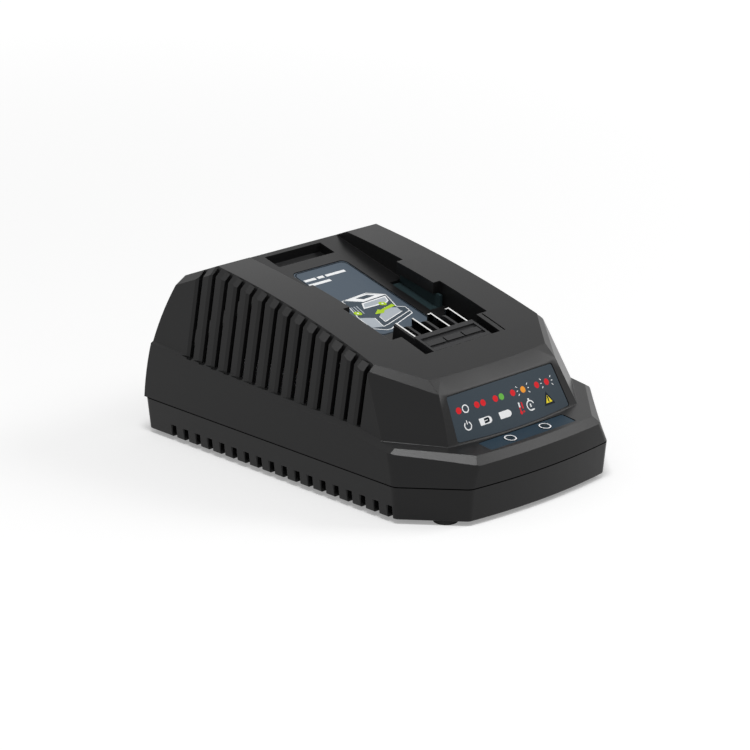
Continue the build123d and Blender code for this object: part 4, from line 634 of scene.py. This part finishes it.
class CHARGER_OT_signs(bpy.types.Operator):
    """Print the lamps and pictograms of the status panel and the rings round the lit windows."""

    bl_idname = "charger.signs"
    bl_label = "Signs"

    def execute(self, context):
        ink = context.scene.charger_print
        sheet = bmesh.new()
        self.lamps(sheet, ink)
        self.power_sign(sheet)
        self.battery_sign(sheet, -20.3, 6.3)
        strokes(sheet, "dark", (
            ((-17.5, 8.5), (-14.9, 8.65)), ((-15.0, 8.8), (-15.1, 7.3)), ((-14.9, 7.4), (-17.6, 7.2)),
        ), 1.0, layer=1)
        self.battery_sign(sheet, -8.3, 6.2)
        self.heat_sign(sheet)
        self.clock_sign(sheet)
        self.fault_sign(sheet)
        lay_ink("status_signs", sheet, ["status_overlay"], (0.0, -0.08195, 0.0313), (0.0, 0.5192, 0.8546),
                ink.ink_height)
        rings = bmesh.new()
        for side in (-11.0, 11.0):
            add_shape(rings, "white", arc, side, 0.0, 2.25, 2.8)
        lay_ink("window_rings", rings, ["light_pipe_right", "light_pipe_left"],
                (0.0, -0.08675, 0.0310), (0.0, 1.0, 0.1025), ink.ink_height)
        return {"FINISHED"}

    def lamps(self, sheet, ink):
        """Pairs of lamps: steady dots, an unlit ring and the fans of the blinking ones."""
        for colour, x in (("red", -29.15), ("red", -18.35), ("red", -14.6), ("red", -7.0), ("green", -3.2),
                          ("red", 4.0), ("amber", 10.6), ("red", 19.7), ("red", 26.3)):
            add_shape(sheet, colour, disc, x, 15.65, 1.5)
        add_shape(sheet, "white", arc, -25.2, 15.6, 1.4, 1.9)
        size = ink.ray_length / MM
        for x in (10.6, 26.3):
            for side in (-1, 1):
                for rise in (-1, 0, 1):
                    near = (x + side * (3.1 - 0.1 * abs(rise)), 15.7 + rise * 1.45)
                    far = (near[0] + side * size * (0.75 if rise else 0.9), near[1] + rise * size * 0.8)
                    add_shape(sheet, "white", stroke, near, far, 0.36)

    def power_sign(self, sheet):
        """An open ring with a short stroke in its gap."""
        add_shape(sheet, "white", arc, -27.05, 8.2, 1.55, 2.1, 125.0, 290.0)
        add_shape(sheet, "white", stroke, (-27.05, 8.9), (-27.05, 10.7), 0.5)

    def battery_sign(self, sheet, x, y):
        """A cell with its nose to the right."""
        corners = ((0.0, 0.0), (6.0, 0.0), (7.2, 0.9), (7.2, 2.2), (6.0, 3.2), (0.0, 3.2))
        add_shape(sheet, "white", outline, [(x + across, y + up) for across, up in corners], 0.3)

    def heat_sign(self, sheet):
        """Two thermometers, one half full and one full."""
        add_shape(sheet, "white", stroke, (4.85, 8.6), (5.05, 10.8), 0.8)
        add_shape(sheet, "red", stroke, (4.7, 6.2), (4.85, 8.6), 0.8)
        add_shape(sheet, "red", disc, 4.7, 6.1, 0.8, layer=1)
        add_shape(sheet, "red", stroke, (6.5, 7.6), (6.75, 10.6), 0.75)
        add_shape(sheet, "red", disc, 6.45, 6.3, 0.5)

    def clock_sign(self, sheet):
        """A stop clock with its knob."""
        add_shape(sheet, "white", arc, 11.6, 7.9, 1.95, 2.5, 15.0, 265.0)
        add_shape(sheet, "white", stroke, (11.5, 10.3), (11.5, 11.2), 0.9)
        add_shape(sheet, "white", stroke, (11.6, 8.7), (11.6, 7.2), 0.8)
        add_shape(sheet, "white", stroke, (11.4, 5.9), (13.2, 5.9), 0.6)

    def fault_sign(self, sheet):
        """A yellow triangle with a dark rim and bar."""
        add_shape(sheet, "dark", outline, [(19.9, 5.5), (27.2, 5.6), (23.5, 11.8)], 0.3)
        add_shape(sheet, "yellow", outline, [(21.4, 6.5), (25.7, 6.6), (23.5, 10.1)], 0.2, layer=1)
        add_shape(sheet, "dark", stroke, (23.5, 9.5), (23.5, 6.9), 0.7, layer=2)


class CHARGER_OT_bay_print(bpy.types.Operator):
    """Print the rim, the bars and the drawing of a battery on the film in the bay."""

    bl_idname = "charger.bay_print"
    bl_label = "Bay print"

    def execute(self, context):
        sheet = bmesh.new()
        strokes(sheet, "dark", (
            ((-12.88, 46.3), (12.88, 46.3)), ((16.1, 43.08), (16.1, -8.38)),
            ((12.88, -11.6), (-12.88, -11.6)), ((-16.1, -8.38), (-16.1, 43.08)),
        ), 0.7)
        for x, y, start in ((12.9, 43.1, 0.0), (-12.9, 43.1, 90.0),
                            (-12.9, -8.4, 180.0), (12.9, -8.4, 270.0)):
            add_shape(sheet, "dark", arc, x, y, 2.85, 3.55, start, 90.0)
        strokes(sheet, "white", (
            ((-15.2, 39.4), (-8.3, 39.4)), ((-7.0, 39.4), (-3.2, 39.4)), ((-1.9, 39.4), (10.2, 39.4)),
            ((-15.6, 35.6), (-2.4, 35.6)),
        ), 1.7)
        self.battery(sheet)
        lay_ink("bay_print", sheet, ["bay_label"], (0.0, 0.0, 0.064098), (0.0, 1.0, 0.27),
                context.scene.charger_print.ink_height)
        return {"FINISHED"}

    def battery(self, sheet):
        """A slide-on battery seen from above, with its two release buttons and the way it slides."""
        body = ((-11.6, 18.5), (4.7, 19.6), (12.4, 14.9), (11.6, 11.8), (9.5, 4.7), (13.2, 2.8), (12.4, -2.7),
                (-1.9, -7.0), (-7.1, -9.2), (-9.9, -9.0), (-15.8, -5.3), (-14.8, 4.4), (-12.4, 12.3))
        add_shape(sheet, "slate", outline, body)
        strokes(sheet, "white", zip(body, body[1:] + body[:1]), 0.45, layer=1)
        add_shape(sheet, "white", outline, ((-10.7, 18.8), (4.3, 19.1), (12.1, 14.8), (-2.4, 14.1)), layer=1)
        add_shape(sheet, "slate", outline, ((-3.6, 17.9), (3.6, 18.2), (7.0, 16.3), (-0.4, 15.8)), layer=2)
        add_shape(sheet, "white", outline, (
            (-4.1, 13.4), (11.4, 14.0), (9.8, 10.1), (7.6, 9.0), (-6.7, 9.2)), layer=1)
        add_shape(sheet, "grey", outline, (
            (-3.6, 12.7), (10.3, 13.2), (9.2, 10.6), (7.4, 9.7), (-5.6, 9.9)), layer=2)
        for across in (-11.4, -9.8, -8.2):
            add_shape(sheet, "grey", stroke, (across, 12.6), (across - 1.2, 6.0), 0.5, layer=1)
        add_shape(sheet, "grey", outline, (
            (3.4, 6.5), (9.0, 3.8), (8.7, 0.5), (-5.0, -3.1), (-4.7, 1.2)), layer=1)
        add_shape(sheet, "grey", outline, ((-14.8, 4.2), (-7.7, 1.2), (-9.2, -6.2), (-15.2, -4.8)), layer=1)
        strokes(sheet, "white", (
            ((-4.7, 1.2), (-5.4, -3.4)), ((-5.4, -3.4), (9.1, 0.5)), ((-7.7, 1.2), (-9.2, -6.2)),
            ((-9.2, -6.2), (-5.6, -5.6)), ((-5.6, -5.6), (12.6, -0.6)),
        ), 0.4, layer=2)
        for x, y in ((-12.3, 7.3), (5.0, 9.2)):
            add_shape(sheet, "lime", outline, ((x - 1.9, y + 1.0), (x - 0.7, y + 1.8), (x + 1.9, y + 0.7),
                                               (x + 1.9, y - 1.0), (x + 0.7, y - 1.8), (x - 1.9, y - 0.7)),
                      0.5, layer=3)
            add_shape(sheet, "white", disc, x, y, 0.5, layer=4)
        add_shape(sheet, "lime", outline, (
            (8.8, 7.3), (9.5, 5.4), (1.6, 4.3), (-0.3, 2.7), (-5.2, 3.5), (-0.9, 6.3), (0.1, 5.4)), layer=3)


class CHARGER_OT_inside(bpy.types.Operator):
    """Finish the boards and power parts that show through the louvres."""

    bl_idname = "charger.inside"
    bl_label = "Inside"

    def execute(self, context):
        finishes = (
            ("board_mask", (0.012, 0.040, 0.036), 0.35, 0.0, ("main_board", "indicator_board")),
            ("sink_aluminium", (0.60, 0.61, 0.63), 0.40, 1.0, ("primary_heat_sink", "secondary_heat_sink")),
            ("ferrite", (0.035, 0.035, 0.038), 0.6, 0.0, ("transformer_core", "filter_choke_core")),
            ("bobbin_plastic", (0.02, 0.02, 0.02), 0.5, 0.0, ("transformer_bobbin",)),
            ("winding_tape", (0.040, 0.036, 0.030), 0.35, 0.0, ("transformer_winding",)),
            ("package_epoxy", (0.012, 0.012, 0.013), 0.45, 0.0,
             ("switching_transistor", "rectifier_diode", "bridge_rectifier", "control_chips")),
            ("can_sleeve", (0.02, 0.025, 0.05), 0.30, 0.0, ("bulk_capacitors", "output_capacitors")),
            ("winding_copper", (0.20, 0.11, 0.07), 0.40, 1.0, ("filter_choke_windings",)),
            ("fuse_glass", (0.55, 0.60, 0.60), 0.12, 0.0, ("fuse_tube",)),
            ("capacitor_box", (0.16, 0.16, 0.165), 0.38, 0.0, ("x_capacitor",)),
            ("varistor_coat", (0.020, 0.030, 0.055), 0.40, 0.0, ("varistor",)),
            ("cable_grey", (0.20, 0.20, 0.21), 0.45, 0.0, ("indicator_cable",)),
            ("wire_sleeve", (0.02, 0.02, 0.02), 0.38, 0.0, ("inlet_wires", "terminal_wires")),
            ("screw_steel", (0.42, 0.42, 0.42), 0.36, 1.0,
             ("housing_screws", "board_screws", "holder_screws")),
        )
        for key, colour, roughness, metallic, names in finishes:
            material = material_of(key, lambda: finish_material(
                key, colour, roughness, 0.0004, 0.00001, metallic=metallic))
            dress(names, material)
        return {"FINISHED"}


class CHARGER_OT_stage(bpy.types.Operator):
    """Lay the pale floor and set up the studio light."""

    bl_idname = "charger.stage"
    bl_label = "Stage"

    def execute(self, context):
        studio = context.scene.charger_studio
        bm = bmesh.new()
        bmesh.ops.create_grid(bm, x_segments=1, y_segments=1, size=studio.floor_half)
        mesh = bpy.data.meshes.new("studio_floor")
        bm.to_mesh(mesh)
        bm.free()
        floor = bpy.data.objects.new("studio_floor", mesh)
        context.scene.collection.objects.link(floor)
        mesh.materials.append(self.floor_material(studio))
        self.world(studio)
        self.lamp("top_lamp", studio.top_power, studio.top_size, studio.top_place, studio.aim)
        self.lamp("front_lamp", studio.front_power, studio.front_size, studio.front_place, studio.aim)
        return {"FINISHED"}

    def background_mask(self, tree):
        """1 for rays that should meet the white background, 0 for light that falls on the charger."""
        new, link = socket_map(tree)
        path = new("ShaderNodeLightPath")
        first = new("ShaderNodeMath", operation="MAXIMUM")
        second = new("ShaderNodeMath", operation="MAXIMUM")
        link(path.outputs["Is Camera Ray"], first.inputs[0])
        link(path.outputs["Is Transmission Ray"], first.inputs[1])
        link(first.outputs[0], second.inputs[0])
        link(path.outputs["Is Glossy Ray"], second.inputs[1])
        return second.outputs[0]

    def floor_material(self, studio):
        """A pale floor that is white to the camera, near and far, and still takes the shadow."""
        material = bpy.data.materials.new("floor_white")
        material.use_nodes = True
        tree = material.node_tree
        new, link = socket_map(tree)
        tree.nodes.remove(tree.nodes["Principled BSDF"])
        matt = new("ShaderNodeBsdfDiffuse")
        matt.inputs["Color"].default_value = (0.82, 0.82, 0.82, 1.0)
        glow = new("ShaderNodeEmission")
        place = new("ShaderNodeTexCoord")
        reach = new("ShaderNodeVectorMath", operation="LENGTH")
        link(place.outputs["Object"], reach.inputs[0])
        far = new("ShaderNodeMapRange", interpolation_type="SMOOTHSTEP")
        far.inputs["From Min"].default_value = 0.14
        far.inputs["From Max"].default_value = 2.0
        far.inputs["To Min"].default_value = studio.glow_near
        far.inputs["To Max"].default_value = studio.glow_far
        link(reach.outputs["Value"], far.inputs["Value"])
        strength = new("ShaderNodeMath", operation="MULTIPLY")
        link(self.background_mask(tree), strength.inputs[0])
        link(far.outputs["Result"], strength.inputs[1])
        link(strength.outputs[0], glow.inputs["Strength"])
        both = new("ShaderNodeAddShader")
        link(matt.outputs[0], both.inputs[0])
        link(glow.outputs[0], both.inputs[1])
        link(both.outputs[0], tree.nodes["Material Output"].inputs["Surface"])
        return material

    def world(self, studio):
        """White where it is seen or mirrored, and an even fill light elsewhere."""
        world = bpy.data.worlds.new("studio_world")
        bpy.context.scene.world = world
        world.use_nodes = True
        tree = world.node_tree
        new, link = socket_map(tree)
        strength = new("ShaderNodeMix", data_type="FLOAT")
        link(self.background_mask(tree), strength.inputs[0])
        strength.inputs[2].default_value = studio.fill
        strength.inputs[3].default_value = 1.0
        link(strength.outputs[0], tree.nodes["Background"].inputs["Strength"])
        tree.nodes["Background"].inputs["Color"].default_value = (1.0, 1.0, 1.0, 1.0)

    def lamp(self, name, power, size, place, aim):
        """A soft square lamp aimed at a point."""
        data = bpy.data.lights.new(name, "AREA")
        data.shape = "SQUARE"
        data.size = size
        data.energy = power
        lamp = bpy.data.objects.new(name, data)
        bpy.context.scene.collection.objects.link(lamp)
        lamp.location = place
        direction = Vector(aim) - Vector(place)
        lamp.rotation_mode = "QUATERNION"
        lamp.rotation_quaternion = direction.to_track_quat("-Z", "Y")


class CHARGER_PT_panel(bpy.types.Panel):
    """Buttons for the pieces of the charger and its stage."""

    bl_label = "Tool battery charger"
    bl_idname = "CHARGER_PT_panel"
    bl_space_type = "VIEW_3D"
    bl_region_type = "UI"
    bl_category = "Charger"

    def draw(self, context):
        for operator in OPERATORS:
            self.layout.operator(operator.bl_idname)


SETTINGS = (
    ("charger_casing", CasingSettings),
    ("charger_print", PrintSettings),
    ("charger_studio", StudioSettings),
)
OPERATORS = (
    CHARGER_OT_camera,
    CHARGER_OT_casing,
    CHARGER_OT_feet,
    CHARGER_OT_terminals,
    CHARGER_OT_films,
    CHARGER_OT_signs,
    CHARGER_OT_bay_print,
    CHARGER_OT_inside,
    CHARGER_OT_stage,
)


def register():
    """Register the settings, operators and panel."""
    for name, settings in SETTINGS:
        bpy.utils.register_class(settings)
        setattr(bpy.types.Scene, name, PointerProperty(type=settings))
    for operator in OPERATORS:
        bpy.utils.register_class(operator)
    bpy.utils.register_class(CHARGER_PT_panel)


def unregister():
    """Remove what register added."""
    bpy.utils.unregister_class(CHARGER_PT_panel)
    for operator in reversed(OPERATORS):
        bpy.utils.unregister_class(operator)
    for name, settings in reversed(SETTINGS):
        delattr(bpy.types.Scene, name)
        bpy.utils.unregister_class(settings)


def main():
    """Dress the charger and light it."""
    register()
    bpy.context.scene.view_settings.view_transform = "Standard"
    bpy.ops.charger.camera()
    bpy.ops.charger.casing()
    bpy.ops.charger.feet()
    bpy.ops.charger.terminals()
    bpy.ops.charger.films()
    bpy.ops.charger.signs()
    bpy.ops.charger.bay_print()
    bpy.ops.charger.inside()
    bpy.ops.charger.stage()


if __name__ == "__main__":
    main()
